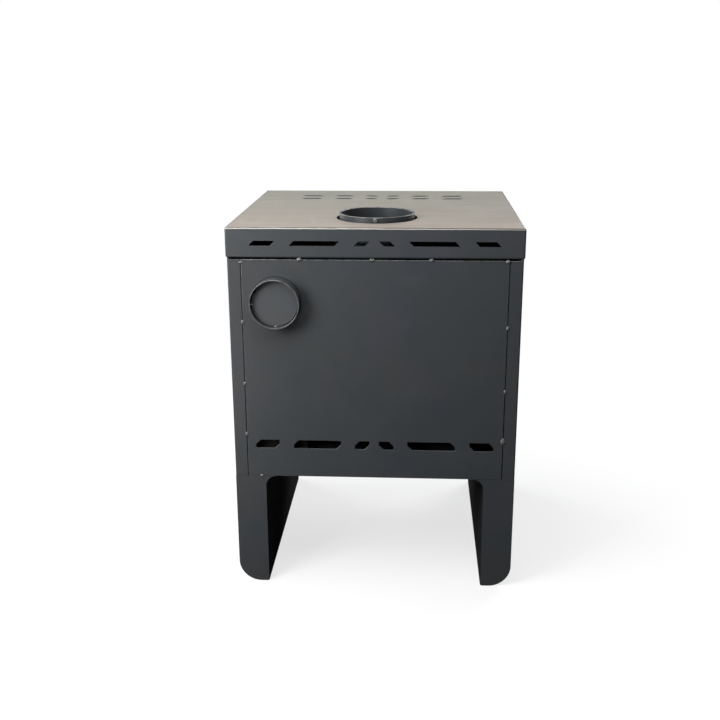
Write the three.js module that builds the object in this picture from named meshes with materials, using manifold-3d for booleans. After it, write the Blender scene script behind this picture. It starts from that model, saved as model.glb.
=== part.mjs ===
// A free-standing wood burning stove in welded sheet steel on two full-depth legs.
// Units are millimetres, +Z is up and the floor is Z = 0. The door faces -Y, and the
// origin lies under the middle of the whole stove's box. "Left" is -X, as seen by
// someone who stands at the door.

import * as THREE from "three";
import { mergeVertices } from "three/addons/utils/BufferGeometryUtils.js";
import Module from "manifold-3d";

const wasm = await Module();
wasm.setup();

// ---- Driving dimensions ----

// Overall
const width = 470; // top tray, side to side
const depth = 460; // top tray, front to back
const height = 618; // upper face of the top tray above the floor
const legHeight = 197.5;

// Sheet thicknesses and gaps
const casingSheet = 3;
const coverSheet = 3;
const legSheet = 4;
const fireSheet = 4;
const frontSheet = 5;
const gap = 0.3; // between two pieces that touch
const slideGap = 0.5; // between two pieces that move on each other
const grid = 0.001; // what corners are rounded to
const pass = 5; // how far a cutting shape passes through a face

// Top tray
const skirtDepth = 48;
const sideOverhang = 1.5;
const rearOverhang = 3;
const frontOverhang = 17;
const skirtSlotTop = 21; // below the tray's upper face
const skirtSlotHeight = 8;
const skirtSlotChamfer = 7;
const topSlotFront = 75; // first row of slots behind the front edge
const topSlotPitch = 38;
const topSlotHeight = 12;
const topSlotRows = 2;
const topSlotInset = 45; // row's end inside the cover's edge line

// Rear cover and the panel flanges beside it
const rearFlange = 21;
const coverSeam = 1;
const coverDrop = 3.2; // cover top below the skirt
const coverSlotRise = 50; // slot bottom above the cover's bottom edge
const coverSlotHeight = 14.5;
const coverSlotChamfer = 8;

// The row of vent slots, from the cover's edge to the middle
const slotEdge = 15.5;
const shortSlot = 39.5;
const smallSlot = 24;
const outerBridge = 24;
const innerBridge = 23;
const middleBridge = 16;

// Flue collar
const collarOd = 124;
const collarWall = 3;
const collarRise = 8.5; // above the top tray
const collarFlange = 18;
const collarFlangeSheet = 4;
const flueHoleClearance = 5;
const flueToBackWall = 8;

// Air spigot
const spigotOd = 80;
const spigotWall = 2;
const spigotProjection = 25;
const spigotSideEdge = 15.5; // between the spigot and the cover's side edge
const spigotTopEdge = 27.8;
const blankRecess = 9.5; // blanking disc inside the spigot's end
const blankClearance = 1; // round the disc

// Legs
const legFlange = 51;
const legOuterRadius = 38;
const legInnerRadius = 3;
const legFillet = 18;
const legBoltInset = 60; // from the body's front and rear faces

// Air duct between the spigot and the ash space
const ductWall = 1.5;
const ductSetback = 12; // behind the rear cover
const ductMargin = 4; // duct wall past the spigot, at each side
const ductRise = 6; // above the spigot, and above the base plate
const inletMargin = 8; // opening in the back wall inside the duct's sides

// Firebox
const convectionGap = 25.5; // side panel to firebox wall
const rearGap = 33; // rear cover to firebox back wall
const topGap = 36; // firebox top plate below the tray's upper face
const brickThickness = 25;
const baffleThickness = 18;
const throat = 62; // smoke space over the baffle
const baffleFrontGap = 95;
const bedSetback = 12; // floor, bricks and log guard behind the front plate

// Grate
const grateHalfX = 112;
const grateHalfY = 87;
const grateThickness = 9;
const grateLap = 12;
const grateSlots = 8; // in each of two rows
const grateSlotWidth = 10;
const grateSpine = 12; // between the two rows

// Air wash deflector and log guard
const deflectorSheet = 2;
const deflectorShelf = 22;
const deflectorDrop = 10;
const deflectorRise = 18;
const guardRise = 8; // above the door opening's lower edge
const guardSlotHeight = 14;
const guardSlotTop = 12; // below the guard's upper edge

// Ash pan
const runnerHeight = 6;
const runnerWidth = 8;
const runnerInset = 30; // runner's middle inside the pan's side
const panHeight = 45;
const panSheet = 1.5;
const panSideMargin = 56; // firebox wall to pan
const panShort = 95; // clear space behind the pan
const panFrontSheet = 4;
const panFrontLap = 12; // the drawer front past its opening, at each side
const panFrontRise = 6; // the same above and below
const panHoleClearance = 2.5;

// Air slide
const slideSheet = 3;
const slideHeight = 22;
const slideHalf = 112;
const airSlot = 24;
const airSlotPitch = 50;
const airSlotHeight = 8;
const airTravel = 12.5; // to each side of the middle
const slideScrewOffset = 85; // from the middle
const slideScrewRadius = 3;
const slideScrewHead = 6.5;
const slideScrewHeadHeight = 3;

// Door
const doorSideMargin = 28.5;
const doorGap = 4; // under the door
const doorTopGap = 8;
const doorFaceSheet = 5;
const doorLip = 4;
const ropeSize = 12;
const ropeClearance = 0.75;
const ropeRecess = 1; // rope's face behind the door's outer lip
const innerLip = 3;
const innerLipDrop = 4; // inner lip lower than the outer one
const apertureInset = 2.5; // front plate opening inside the door's inner lip
const glassBorderSide = 49; // front plate opening to glass opening
const glassBorderEnd = 24.5; // door's inner lip to glass opening, top and bottom
const glassLap = 12;
const glassThickness = 4;
const gasketThickness = 2;
const clipWidth = 22;
const clipSheet = 1.5;
const clipReach = 11; // clip past the glass edge
const clipToe = 8; // clip over the glass
const clipInset = 25; // clip's middle inside the glass opening's side
const clipScrewReach = 6.5; // screw past the glass edge

// Hinges
const knuckleRadius = 7;
const knuckleHeight = 24;
const hingeOffset = 9; // axis beside the door's edge
const hingeInset = 58; // knuckle middle from the door's top and bottom
const pinRadius = 3;
const pinHead = 5;
const pinRise = 3; // above the knuckle
const leafHalf = 3; // half the thickness of a knuckle's leaf
const lugHeight = 14;
const armOut = 12; // bracket's foot outside the hinge axis
const armIn = 5; // and inside it

// Handle and latch
const spindleRadius = 6;
const threadRadius = 4;
const hubRadius = 12;
const hubLength = 12;
const handleStandoff = 30; // grip axis in front of the hub's middle
const leverRadius = 5;
const gripRadius = 11;
const gripShare = 0.578; // of the drop from the spindle to the grip's end
const gripEnd = 3; // solid end below the lever's rod
const gripTaper = 2.5;
const tongueLength = 22.5;
const tongueClearance = 2.5;
const tongueSheet = 6;
const tongueSetback = 2; // behind the front plate
const tongueHub = 9;
const tongueHalf = 6.5;
const nutRadius = 7.5;
const nutThickness = 5;
const catchHalf = 22;
const catchWidth = 14;
const catchSheet = 3;
const catchLip = 9;

// Small fasteners
const boltRadius = 4;
const boltHead = 7.5;
const boltHeadHeight = 5;
const boltEnd = 6; // above the base plate
const clipScrewRadius = 2;
const clipScrewHead = 3.5;
const clipScrewHeadHeight = 2.5;
const clipScrewDepth = 2.5; // into the door's face
const collarScrewRadius = 2;
const collarScrewHead = 3.4;
const collarScrewHeadHeight = 2;
const collarScrewDrop = 4.5; // below the collar's rim

// ---- Places worked out from the driving dimensions ----

const halfTurn = Math.PI;
const bodyHalf = width / 2 - sideOverhang;
const bodyDepth = depth - rearOverhang - frontOverhang;
const frontY = -bodyDepth / 2;
const rearY = bodyDepth / 2;
const plateBackY = frontY + frontSheet;
const skirtBottom = height - skirtDepth;
const bodyTop = skirtBottom - gap;
const coverTop = skirtBottom - coverDrop;
const coverHalf = bodyHalf - rearFlange;
const baseTop = legHeight + casingSheet;

const fireHalf = bodyHalf - casingSheet - convectionGap; // outside of the firebox walls
const fireInner = fireHalf - fireSheet;
const backWallY = rearY - coverSheet - rearGap; // outside of the back wall
const backInner = backWallY - fireSheet;
const topPlateTop = height - topGap;
const topPlateBottom = topPlateTop - fireSheet;
const baffleTop = topPlateBottom - throat;
const brickTop = baffleTop - baffleThickness - gap;
const bedFront = plateBackY + bedSetback;

const panBottom = baseTop + runnerHeight + gap;
const panTop = panBottom + panHeight;
const panHalf = fireHalf - panSideMargin;
const panDepth = backInner - plateBackY - panShort;
const ashHoleBottom = panBottom - panHoleClearance;
const ashHoleTop = panTop + panHoleClearance;
const ashHoleHalf = panHalf + panHoleClearance;
const panFrontBottom = ashHoleBottom - panFrontRise + 2;
const panFrontTop = ashHoleTop + panFrontRise;
const floorTop = panTop + 16;
const slideBottom = panFrontTop + 5.5;
const slideTop = slideBottom + slideHeight;
const slideZ = (slideBottom + slideTop) / 2;

const doorHalf = bodyHalf - doorSideMargin;
const doorBottom = slideTop + doorGap;
const doorTop = bodyTop - doorTopGap;
const doorBack = frontY - gap;
const doorFront = doorBack - doorFaceSheet - ropeSize - ropeRecess;
const doorInnerFace = doorFront + doorFaceSheet;
const channelOuter = doorLip;
const channelInner = channelOuter + ropeSize + 2 * ropeClearance;
const innerLipEdge = channelInner + innerLip;
const apertureEdge = innerLipEdge + apertureInset;
const apertureHalf = doorHalf - apertureEdge;
const apertureBottom = doorBottom + apertureEdge;
const apertureTop = doorTop - apertureEdge;
const glassHoleHalf = apertureHalf - glassBorderSide;
const glassHoleBottom = doorBottom + innerLipEdge + glassBorderEnd;
const glassHoleTop = doorTop - innerLipEdge - glassBorderEnd;
const doorMiddle = (doorBottom + doorTop) / 2;

const hingeX = -(doorHalf + hingeOffset);
const hingeY = (doorFront + doorBack) / 2;
const latchX = apertureHalf - tongueClearance - tongueLength;
const hubFront = doorFront - gap - hubLength;
const hubY = doorFront - gap - hubLength / 2;
const gripY = hubY - handleStandoff;

const collarRadius = collarOd / 2;
const flueRadius = collarRadius - collarWall;
const flueY = backInner - flueToBackWall - flueRadius;
const spigotRadius = spigotOd / 2;
const spigotX = coverHalf - spigotSideEdge - spigotRadius;
const spigotZ = coverTop - spigotTopEdge - spigotRadius;

// ---- Solids ----

// A geometry as a solid, its corners on a grid so that faces meant to be flush are flush.
function solid(geometry) {
  const bare = geometry.index ? geometry.toNonIndexed() : geometry.clone();
  for (const name of Object.keys(bare.attributes)) {
    if (name !== "position") bare.deleteAttribute(name);
  }
  const places = bare.attributes.position.array;
  places.forEach((value, i) => {
    places[i] = Math.round(value / grid) * grid;
  });
  const merged = mergeVertices(bare, 1e-4);
  const corners = merged.index.array;
  const kept = [];
  for (let i = 0; i < corners.length; i += 3) {
    const [a, b, c] = [corners[i], corners[i + 1], corners[i + 2]];
    if (a !== b && b !== c && c !== a) kept.push(a, b, c);
  }
  return new wasm.Manifold(
    new wasm.Mesh({
      numProp: 3,
      vertProperties: merged.attributes.position.array,
      triVerts: new Uint32Array(kept),
    }),
  );
}

function join(first, ...others) {
  return others.reduce((whole, other) => whole.add(other), first);
}

function cut(first, ...others) {
  return others.reduce((whole, other) => whole.subtract(other), first);
}

function block([x0, x1], [y0, y1], [z0, z1]) {
  const box = new THREE.BoxGeometry(x1 - x0, y1 - y0, z1 - z0);
  box.translate((x0 + x1) / 2, (y0 + y1) / 2, (z0 + z1) / 2);
  return solid(box);
}

// A geometry drawn about +Z, turned so that its axis runs along "x", "y" or "z".
function turned(geometry, axis) {
  if (axis === "x") geometry.rotateY(halfTurn / 2);
  if (axis === "y") geometry.rotateX(-halfTurn / 2);
  return geometry;
}

// A round bar. Centre holds the two coordinates across the axis, in X, Y, Z order.
function bar(axis, centre, radius, [from, to], sides = 24) {
  const cylinder = new THREE.CylinderGeometry(radius, radius, to - from, sides);
  cylinder.rotateX(halfTurn / 2);
  turned(cylinder, axis);
  const middle = (from + to) / 2;
  const [p, q] = centre;
  if (axis === "x") cylinder.translate(middle, p, q);
  if (axis === "y") cylinder.translate(p, middle, q);
  if (axis === "z") cylinder.translate(p, q, middle);
  return solid(cylinder);
}

// A turned piece along Z from [radius, z] points that start and end on the axis.
function lathed(points, [x, y], sides = 32) {
  const profile = points.map(([r, z]) => new THREE.Vector2(r, z));
  const shape = new THREE.LatheGeometry(profile, sides);
  shape.rotateX(halfTurn / 2);
  shape.translate(x, y, 0);
  return solid(shape);
}

// A turned piece along -Y: each point is [radius, distance in front of y].
function knob(points, [x, y, z], sides = 32) {
  const profile = points.map(([r, d]) => new THREE.Vector2(r, -d));
  const shape = new THREE.LatheGeometry(profile.reverse(), sides);
  shape.translate(x, y, z);
  return solid(shape);
}

function outline(points) {
  return new THREE.Shape(points.map(([a, b]) => new THREE.Vector2(a, b)));
}

function roundedRectangle(a0, a1, b0, b1, radius) {
  const shape = new THREE.Shape();
  shape.moveTo(a0 + radius, b0);
  shape.absarc(a1 - radius, b0 + radius, radius, -halfTurn / 2, 0, false);
  shape.absarc(a1 - radius, b1 - radius, radius, 0, halfTurn / 2, false);
  shape.absarc(a0 + radius, b1 - radius, radius, halfTurn / 2, halfTurn, false);
  shape.absarc(a0 + radius, b0 + radius, radius, halfTurn, 1.5 * halfTurn, false);
  shape.closePath();
  return shape;
}

// A flat plate: the shape is drawn in the plane across the normal, in X, Y, Z order.
function plate(normal, shape, [from, to], curveSegments = 8) {
  const sheet = new THREE.ExtrudeGeometry(shape, {
    depth: to - from,
    bevelEnabled: false,
    curveSegments,
  });
  if (normal === "y") {
    sheet.rotateX(halfTurn / 2);
    sheet.translate(0, to, 0);
  }
  if (normal === "x") {
    const across = new THREE.Vector3(0, 1, 0);
    const up = new THREE.Vector3(0, 0, 1);
    const along = new THREE.Vector3(1, 0, 0);
    sheet.applyMatrix4(new THREE.Matrix4().makeBasis(across, up, along));
    sheet.translate(from, 0, 0);
  }
  if (normal === "z") sheet.translate(0, 0, from);
  return solid(sheet);
}

function ring(normal, outer, inner, span, curveSegments = 8) {
  outer.holes.push(inner);
  return plate(normal, outer, span, curveSegments);
}

function hexagon([a, b], radius) {
  const points = [];
  for (let i = 0; i < 6; i++) {
    const angle = (i * halfTurn) / 3;
    points.push([a + radius * Math.cos(angle), b + radius * Math.sin(angle)]);
  }
  return outline(points);
}

// ---- Materials and nodes ----

const finishes = {
  casing: { color: 0x4a4d4f, roughness: 0.48, metalness: 0.35 },
  top: { color: 0x8f8a80, roughness: 0.42, metalness: 0.4 },
  firebox: { color: 0x2c2c2c, roughness: 0.7, metalness: 0.4 },
  castIron: { color: 0x2a2a2a, roughness: 0.8, metalness: 0.5 },
  brick: { color: 0xc7b184, roughness: 0.95, metalness: 0 },
  glass: { color: 0x20262a, roughness: 0.05, metalness: 0 },
  rope: { color: 0x2b2b2b, roughness: 0.95, metalness: 0 },
  bright: { color: 0xb8b8b6, roughness: 0.3, metalness: 0.9 },
  blackSteel: { color: 0x1d1e20, roughness: 0.45, metalness: 0.7 },
};

const stove = new THREE.Group();

function node(name, shape, finish) {
  const mesh = shape.getMesh();
  const geometry = new THREE.BufferGeometry();
  geometry.setAttribute("position", new THREE.BufferAttribute(mesh.vertProperties, 3));
  geometry.setIndex(new THREE.BufferAttribute(mesh.triVerts, 1));
  geometry.computeVertexNormals();
  const piece = new THREE.Mesh(geometry, new THREE.MeshStandardMaterial(finishes[finish]));
  piece.name = name;
  stove.add(piece);
}

// ---- Vent slots ----

// The slots of one side as [inner end, outer end], from the middle outwards.
function slotSpans(half) {
  const shortOuter = half - slotEdge;
  const shortInner = shortOuter - shortSlot;
  const longOuter = shortInner - outerBridge;
  const smallInner = middleBridge / 2;
  const smallOuter = smallInner + smallSlot;
  return [
    [smallInner, smallOuter],
    [smallOuter + innerBridge, longOuter],
    [shortInner, shortOuter],
  ];
}

// A slot with its upper outer and lower inner corners cut off, on one side of the middle.
function slotShape(side, [inner, outer], low, high, chamfer) {
  return outline([
    [side * inner, high],
    [side * (outer - chamfer), high],
    [side * outer, high - chamfer],
    [side * outer, low],
    [side * (inner + chamfer), low],
    [side * inner, low + chamfer],
  ]);
}

function slotRow(normal, half, [low, high], chamfer, span) {
  const slots = [];
  for (const side of [-1, 1]) {
    for (const ends of slotSpans(half)) {
      slots.push(plate(normal, slotShape(side, ends, low, high, chamfer), span));
    }
  }
  return slots;
}

// ---- Casing ----

function topTray() {
  const trayFront = frontY - frontOverhang;
  const trayRear = rearY + rearOverhang;
  const outer = block([-width / 2, width / 2], [trayFront, trayRear], [skirtBottom, height]);
  const inner = block(
    [-width / 2 + casingSheet, width / 2 - casingSheet],
    [trayFront + casingSheet, trayRear - casingSheet],
    [skirtBottom - 1, height - casingSheet],
  );
  const through = [height - pass, height + pass];
  const hole = bar("z", [0, flueY], collarRadius + flueHoleClearance, through, 64);
  const skirtSlots = slotRow(
    "y",
    coverHalf,
    [height - skirtSlotTop - skirtSlotHeight, height - skirtSlotTop],
    skirtSlotChamfer,
    [trayRear - pass, trayRear + pass],
  );
  const topSlots = [];
  for (let row = 0; row < topSlotRows; row++) {
    const low = trayFront + topSlotFront + row * topSlotPitch;
    const ends = [low, low + topSlotHeight];
    topSlots.push(...slotRow("z", coverHalf - topSlotInset, ends, coverSlotChamfer, through));
  }
  return cut(outer, inner, hole, ...skirtSlots, ...topSlots);
}

function ordered(a, b) {
  return [Math.min(a, b), Math.max(a, b)];
}

function sidePanel(side) {
  const outer = side * bodyHalf;
  const inner = side * (bodyHalf - casingSheet);
  const flangeEnd = side * coverHalf;
  const startY = plateBackY + gap;
  const web = block(ordered(outer, inner), [startY, rearY], [legHeight, bodyTop]);
  const rear = [rearY - casingSheet, rearY];
  const flange = block(ordered(outer, flangeEnd), rear, [legHeight, coverTop]);
  return join(web, flange);
}

function rearCover() {
  const half = coverHalf - coverSeam;
  const sheet = block([-half, half], [rearY - coverSheet, rearY], [legHeight, coverTop]);
  const low = legHeight + coverSlotRise;
  const span = [rearY - pass, rearY + pass];
  const slots = slotRow("y", coverHalf, [low, low + coverSlotHeight], coverSlotChamfer, span);
  const hole = bar("y", [spigotX, spigotZ], spigotRadius + gap, span, 64);
  return cut(sheet, hole, ...slots);
}

function basePlate() {
  const half = bodyHalf - casingSheet - gap;
  const yEnds = [plateBackY + gap, rearY - casingSheet - gap];
  let sheet = block([-half, half], yEnds, [legHeight, baseTop]);
  for (const side of [-1, 1]) {
    const middle = side * (panHalf - runnerInset);
    const runner = block(
      [middle - runnerWidth / 2, middle + runnerWidth / 2],
      [plateBackY + runnerWidth / 2, plateBackY + panDepth],
      [baseTop - casingSheet / 2, baseTop + runnerHeight],
    );
    sheet = join(sheet, runner);
  }
  const through = [legHeight - pass, baseTop + pass];
  const holes = legBoltPlaces.map((centre) => bar("z", centre, boltRadius + gap, through));
  return cut(sheet, ...holes);
}

function frontPlate() {
  const span = [frontY, plateBackY];
  const face = block([-bodyHalf, bodyHalf], span, [legHeight, bodyTop]);
  const upstand = block([-fireHalf, fireHalf], span, [bodyTop - 1, topPlateBottom - gap]);
  const through = [frontY - pass, plateBackY + pass];
  const doorHole = plate(
    "y",
    roundedRectangle(-apertureHalf, apertureHalf, apertureBottom, apertureTop, 6),
    through,
    4,
  );
  const ashHole = block([-ashHoleHalf, ashHoleHalf], through, [ashHoleBottom, ashHoleTop]);
  const airHoles = [-1, 0, 1].map((i) => airHole(i * airSlotPitch, through));
  const screwHoles = slideScrewPlaces.map((x) =>
    bar("y", [x, slideZ], slideScrewRadius + gap, through, 16),
  );
  return cut(join(face, upstand), doorHole, ashHole, ...airHoles, ...screwHoles);
}

// ---- Legs ----

const legBoltPlaces = [];
for (const side of [-1, 1]) {
  for (const end of [-1, 1]) {
    const x = side * (fireHalf + convectionGap / 2);
    legBoltPlaces.push([x, end * (bodyDepth / 2 - legBoltInset)]);
  }
}

// The front or rear plate of a right-hand leg, seen along Y.
function legOutline() {
  const top = legHeight - gap;
  const inner = bodyHalf - legFlange;
  const shape = new THREE.Shape();
  shape.moveTo(bodyHalf, top);
  shape.lineTo(inner - legFillet, top);
  shape.absarc(inner - legFillet, top - legFillet, legFillet, halfTurn / 2, 0, true);
  const round = (x, radius, turns) =>
    shape.absarc(x, radius, radius, turns * halfTurn, (turns + 0.5) * halfTurn, false);
  round(inner + legInnerRadius, legInnerRadius, 1);
  round(bodyHalf - legOuterRadius, legOuterRadius, 1.5);
  shape.closePath();
  return shape;
}

function leg(side) {
  const top = legHeight - gap;
  const inner = bodyHalf - legFlange;
  const front = plate("y", legOutline(), [frontY, frontY + legSheet]);
  const rear = plate("y", legOutline(), [rearY - legSheet, rearY]);
  const lengthways = [frontY + legSheet / 2, rearY - legSheet / 2];
  const web = block([inner, inner + legSheet], lengthways, [0, top]);
  const shelf = block([inner, bodyHalf], lengthways, [top - legSheet, top]);
  const right = join(web, shelf, front, rear);
  const holes = legBoltPlaces.map(([x, y]) =>
    bar("z", [Math.abs(x), y], boltRadius + gap, [top - pass, top + pass]),
  );
  const drilled = cut(right, ...holes);
  return side > 0 ? drilled : drilled.mirror([1, 0, 0]);
}

function legBolt([x, y]) {
  const seat = legHeight - gap - legSheet - gap;
  const head = plate("z", hexagon([x, y], boltHead), [seat - boltHeadHeight, seat]);
  const shank = bar("z", [x, y], boltRadius, [seat - boltHeadHeight / 2, baseTop + boltEnd], 16);
  return join(head, shank);
}

// ---- Firebox ----

function fireWall(side) {
  const ends = ordered(side * fireHalf, side * fireInner);
  return block(ends, [plateBackY + gap, backWallY], [baseTop + gap, topPlateBottom - gap]);
}

const ductHalf = spigotRadius + ductMargin;
const ductTop = spigotZ + spigotRadius + ductRise;
const ductX = Math.min(spigotX, fireInner - ductHalf - gap);

function backWall() {
  const sheet = block(
    [-fireInner + gap, fireInner - gap],
    [backInner, backWallY],
    [baseTop + gap, topPlateBottom - gap],
  );
  const inlet = block(
    [ductX - ductHalf + inletMargin, ductX + ductHalf - inletMargin],
    [backInner - pass, backWallY + pass],
    [baseTop + 2 * ductRise, panTop - ductMargin],
  );
  return cut(sheet, inlet);
}

// A folded channel that carries outside air from the spigot down to the ash space.
function airDuct() {
  const rear = rearY - coverSheet - ductSetback;
  const start = backWallY + gap;
  const low = baseTop + ductRise;
  const outer = block([ductX - ductHalf, ductX + ductHalf], [start, rear], [low, ductTop]);
  const inner = block(
    [ductX - ductHalf + ductWall, ductX + ductHalf - ductWall],
    [start - pass, rear - ductWall],
    [low + ductWall, ductTop - ductWall],
  );
  const bore = spigotRadius - spigotWall;
  const hole = bar("y", [spigotX, spigotZ], bore, [rear - pass, rear + pass], 48);
  return cut(outer, inner, hole);
}

function fireTopPlate() {
  const sheet = block([-fireHalf, fireHalf], [frontY, backWallY], [topPlateBottom, topPlateTop]);
  const through = [topPlateBottom - pass, topPlateTop + pass];
  const hole = bar("z", [0, flueY], flueRadius, through, 48);
  return cut(sheet, hole);
}

const bedMiddle = (bedFront + backInner) / 2;

function fireFloor() {
  const sheet = block(
    [-fireInner + gap, fireInner - gap],
    [bedFront, backInner - gap],
    [floorTop - fireSheet, floorTop],
  );
  const hole = block(
    [-grateHalfX + grateLap, grateHalfX - grateLap],
    [bedMiddle - grateHalfY + grateLap, bedMiddle + grateHalfY - grateLap],
    [floorTop - fireSheet - pass, floorTop + pass],
  );
  return cut(sheet, hole);
}

function grate() {
  const low = floorTop + gap;
  const span = [low, low + grateThickness];
  const casting = plate(
    "z",
    roundedRectangle(-grateHalfX, grateHalfX, bedMiddle - grateHalfY, bedMiddle + grateHalfY, 6),
    span,
    3,
  );
  const slots = [];
  const pitch = (2 * (grateHalfX - grateLap)) / grateSlots;
  const reach = grateHalfY - grateLap - fireSheet;
  for (let i = 0; i < grateSlots; i++) {
    const x = (i - (grateSlots - 1) / 2) * pitch;
    for (const end of [-1, 1]) {
      const ends = ordered(bedMiddle + (end * grateSpine) / 2, bedMiddle + end * reach);
      const sides = [x - grateSlotWidth / 2, x + grateSlotWidth / 2];
      slots.push(block(sides, ends, [low - pass, low + grateThickness + pass]));
    }
  }
  return cut(casting, ...slots);
}

const backBrickFront = backInner - gap - brickThickness;

function sideBrick(side) {
  const outer = side * (fireInner - gap);
  const inner = side * (fireInner - gap - brickThickness);
  const lengthways = [bedFront, backBrickFront - gap];
  return block(ordered(outer, inner), lengthways, [floorTop + gap, brickTop]);
}

function backBrick() {
  const half = fireInner - gap;
  return block([-half, half], [backBrickFront, backInner - gap], [floorTop + gap, brickTop]);
}

function baffle() {
  const half = fireInner - gap;
  return block(
    [-half, half],
    [plateBackY + baffleFrontGap, backInner - gap],
    [baffleTop - baffleThickness, baffleTop],
  );
}

// A folded strip over the door opening that turns the wash air down the glass.
function airwashDeflector() {
  const sheet = deflectorSheet;
  const low = apertureTop + sheet;
  const y = plateBackY + gap;
  const edge = y + deflectorShelf;
  const profile = outline([
    [y, low],
    [edge - sheet, low],
    [edge - sheet, low - deflectorDrop],
    [edge, low - deflectorDrop],
    [edge, low + sheet],
    [y + sheet, low + sheet],
    [y + sheet, low + deflectorRise],
    [y, low + deflectorRise],
  ]);
  return plate("x", profile, [-apertureHalf + sheet, apertureHalf - sheet]);
}

function logGuard() {
  const half = fireInner - brickThickness - casingSheet;
  const top = apertureBottom + guardRise;
  const strip = block([-half, half], [bedFront, bedFront + fireSheet], [floorTop + gap, top]);
  const slotTop = top - guardSlotTop;
  const through = [bedFront - pass, bedFront + fireSheet + pass];
  const slots = slotRow("y", half, [slotTop - guardSlotHeight, slotTop], coverSlotChamfer, through);
  return cut(strip, ...slots);
}

// ---- Flue collar and air spigot ----

const collarTop = height + collarRise;
const collarScrewZ = collarTop - collarScrewDrop;

function flueCollar() {
  const seat = topPlateTop + gap;
  const centre = [0, flueY];
  const flangeSpan = [seat, seat + collarFlangeSheet];
  const flange = bar("z", centre, collarRadius + collarFlange, flangeSpan, 48);
  const tube = bar("z", centre, collarRadius, [seat, collarTop], 48);
  const bore = bar("z", centre, flueRadius, [seat - pass, collarTop + pass], 48);
  const screwSpan = [flueY, flueY + collarOd];
  const screwHole = bar("y", [0, collarScrewZ], collarScrewRadius + gap, screwSpan, 12);
  return cut(join(flange, tube), bore, screwHole);
}

function collarScrew() {
  const seat = flueY + collarRadius + gap;
  const centre = [0, collarScrewZ];
  const head = bar("y", centre, collarScrewHead, [seat, seat + collarScrewHeadHeight], 20);
  const tip = seat - 2 * collarWall;
  const shank = bar("y", centre, collarScrewRadius, [tip, seat + collarScrewHeadHeight / 2], 12);
  return join(head, shank);
}

function airSpigot() {
  const inside = rearY - coverSheet - ductSetback + gap;
  const end = rearY + spigotProjection;
  const centre = [spigotX, spigotZ];
  const tube = bar("y", centre, spigotRadius, [inside, end], 48);
  const bore = bar("y", centre, spigotRadius - spigotWall, [inside - pass, end + pass], 48);
  return cut(tube, bore);
}

function spigotBlank() {
  const radius = spigotRadius - spigotWall - blankClearance;
  const face = rearY + spigotProjection - blankRecess;
  return bar("y", [spigotX, spigotZ], radius, [face - coverSheet, face], 48);
}

// ---- Ash pan ----

const panFrontY = frontY - gap - panFrontSheet;
const panFrontZ = (panFrontBottom + panFrontTop) / 2;

function ashPan() {
  const outer = block([-panHalf, panHalf], [frontY, frontY + panDepth], [panBottom, panTop]);
  const inner = block(
    [-panHalf + panSheet, panHalf - panSheet],
    [frontY + panSheet, frontY + panDepth - panSheet],
    [panBottom + panSheet, panTop + pass],
  );
  return cut(outer, inner);
}

function ashPanFront() {
  const half = ashHoleHalf + panFrontLap;
  const face = roundedRectangle(-half, half, panFrontBottom, panFrontTop, 4);
  return plate("y", face, [panFrontY, panFrontY + panFrontSheet], 3);
}

const knobProfile = [
  [0, gap],
  [5, gap],
  [4, 8],
  [4, 12],
  [10, 15],
  [11, 18],
  [11, 21],
  [9, 23],
  [0, 23.5],
];

// ---- Air slide ----

const slideScrewPlaces = [-slideScrewOffset, slideScrewOffset];
const slideFront = frontY - slideGap - slideSheet;

function airHole(x, span) {
  const half = airSlot / 2;
  const rise = airSlotHeight / 2;
  return block([x - half, x + half], span, [slideZ - rise, slideZ + rise]);
}

function airSlide() {
  const face = roundedRectangle(-slideHalf, slideHalf, slideBottom, slideTop, 3);
  const sheet = plate("y", face, [slideFront, slideFront + slideSheet], 3);
  const through = [slideFront - pass, slideFront + slideSheet + pass];
  const airHoles = [-1, 0, 1].map((i) => airHole(i * airSlotPitch - airTravel, through));
  const half = slideScrewRadius + airTravel + slideGap;
  const rise = slideScrewRadius + slideGap;
  const guides = slideScrewPlaces.map((x) => {
    const guide = roundedRectangle(x - half, x + half, slideZ - rise, slideZ + rise, rise);
    return plate("y", guide, through, 6);
  });
  return cut(sheet, ...airHoles, ...guides);
}

function slideScrew(x) {
  const seat = slideFront - slideGap;
  const head = bar("y", [x, slideZ], slideScrewHead, [seat - slideScrewHeadHeight, seat], 24);
  const start = seat - slideScrewHeadHeight / 2;
  const shank = bar("y", [x, slideZ], slideScrewRadius, [start, plateBackY + slideScrewRadius], 16);
  return join(head, shank);
}

// ---- Door ----

// A rectangle at a given distance inside the door's outline.
function doorInset(inset, radius) {
  const half = doorHalf - inset;
  return roundedRectangle(-half, half, doorBottom + inset, doorTop - inset, radius);
}

const clipPlaces = [];
for (const side of [-1, 1]) {
  for (const end of [-1, 1]) {
    const edge = end > 0 ? glassHoleTop + glassLap : glassHoleBottom - glassLap;
    clipPlaces.push({ x: side * (glassHoleHalf - clipInset), edge, end });
  }
}

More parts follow.
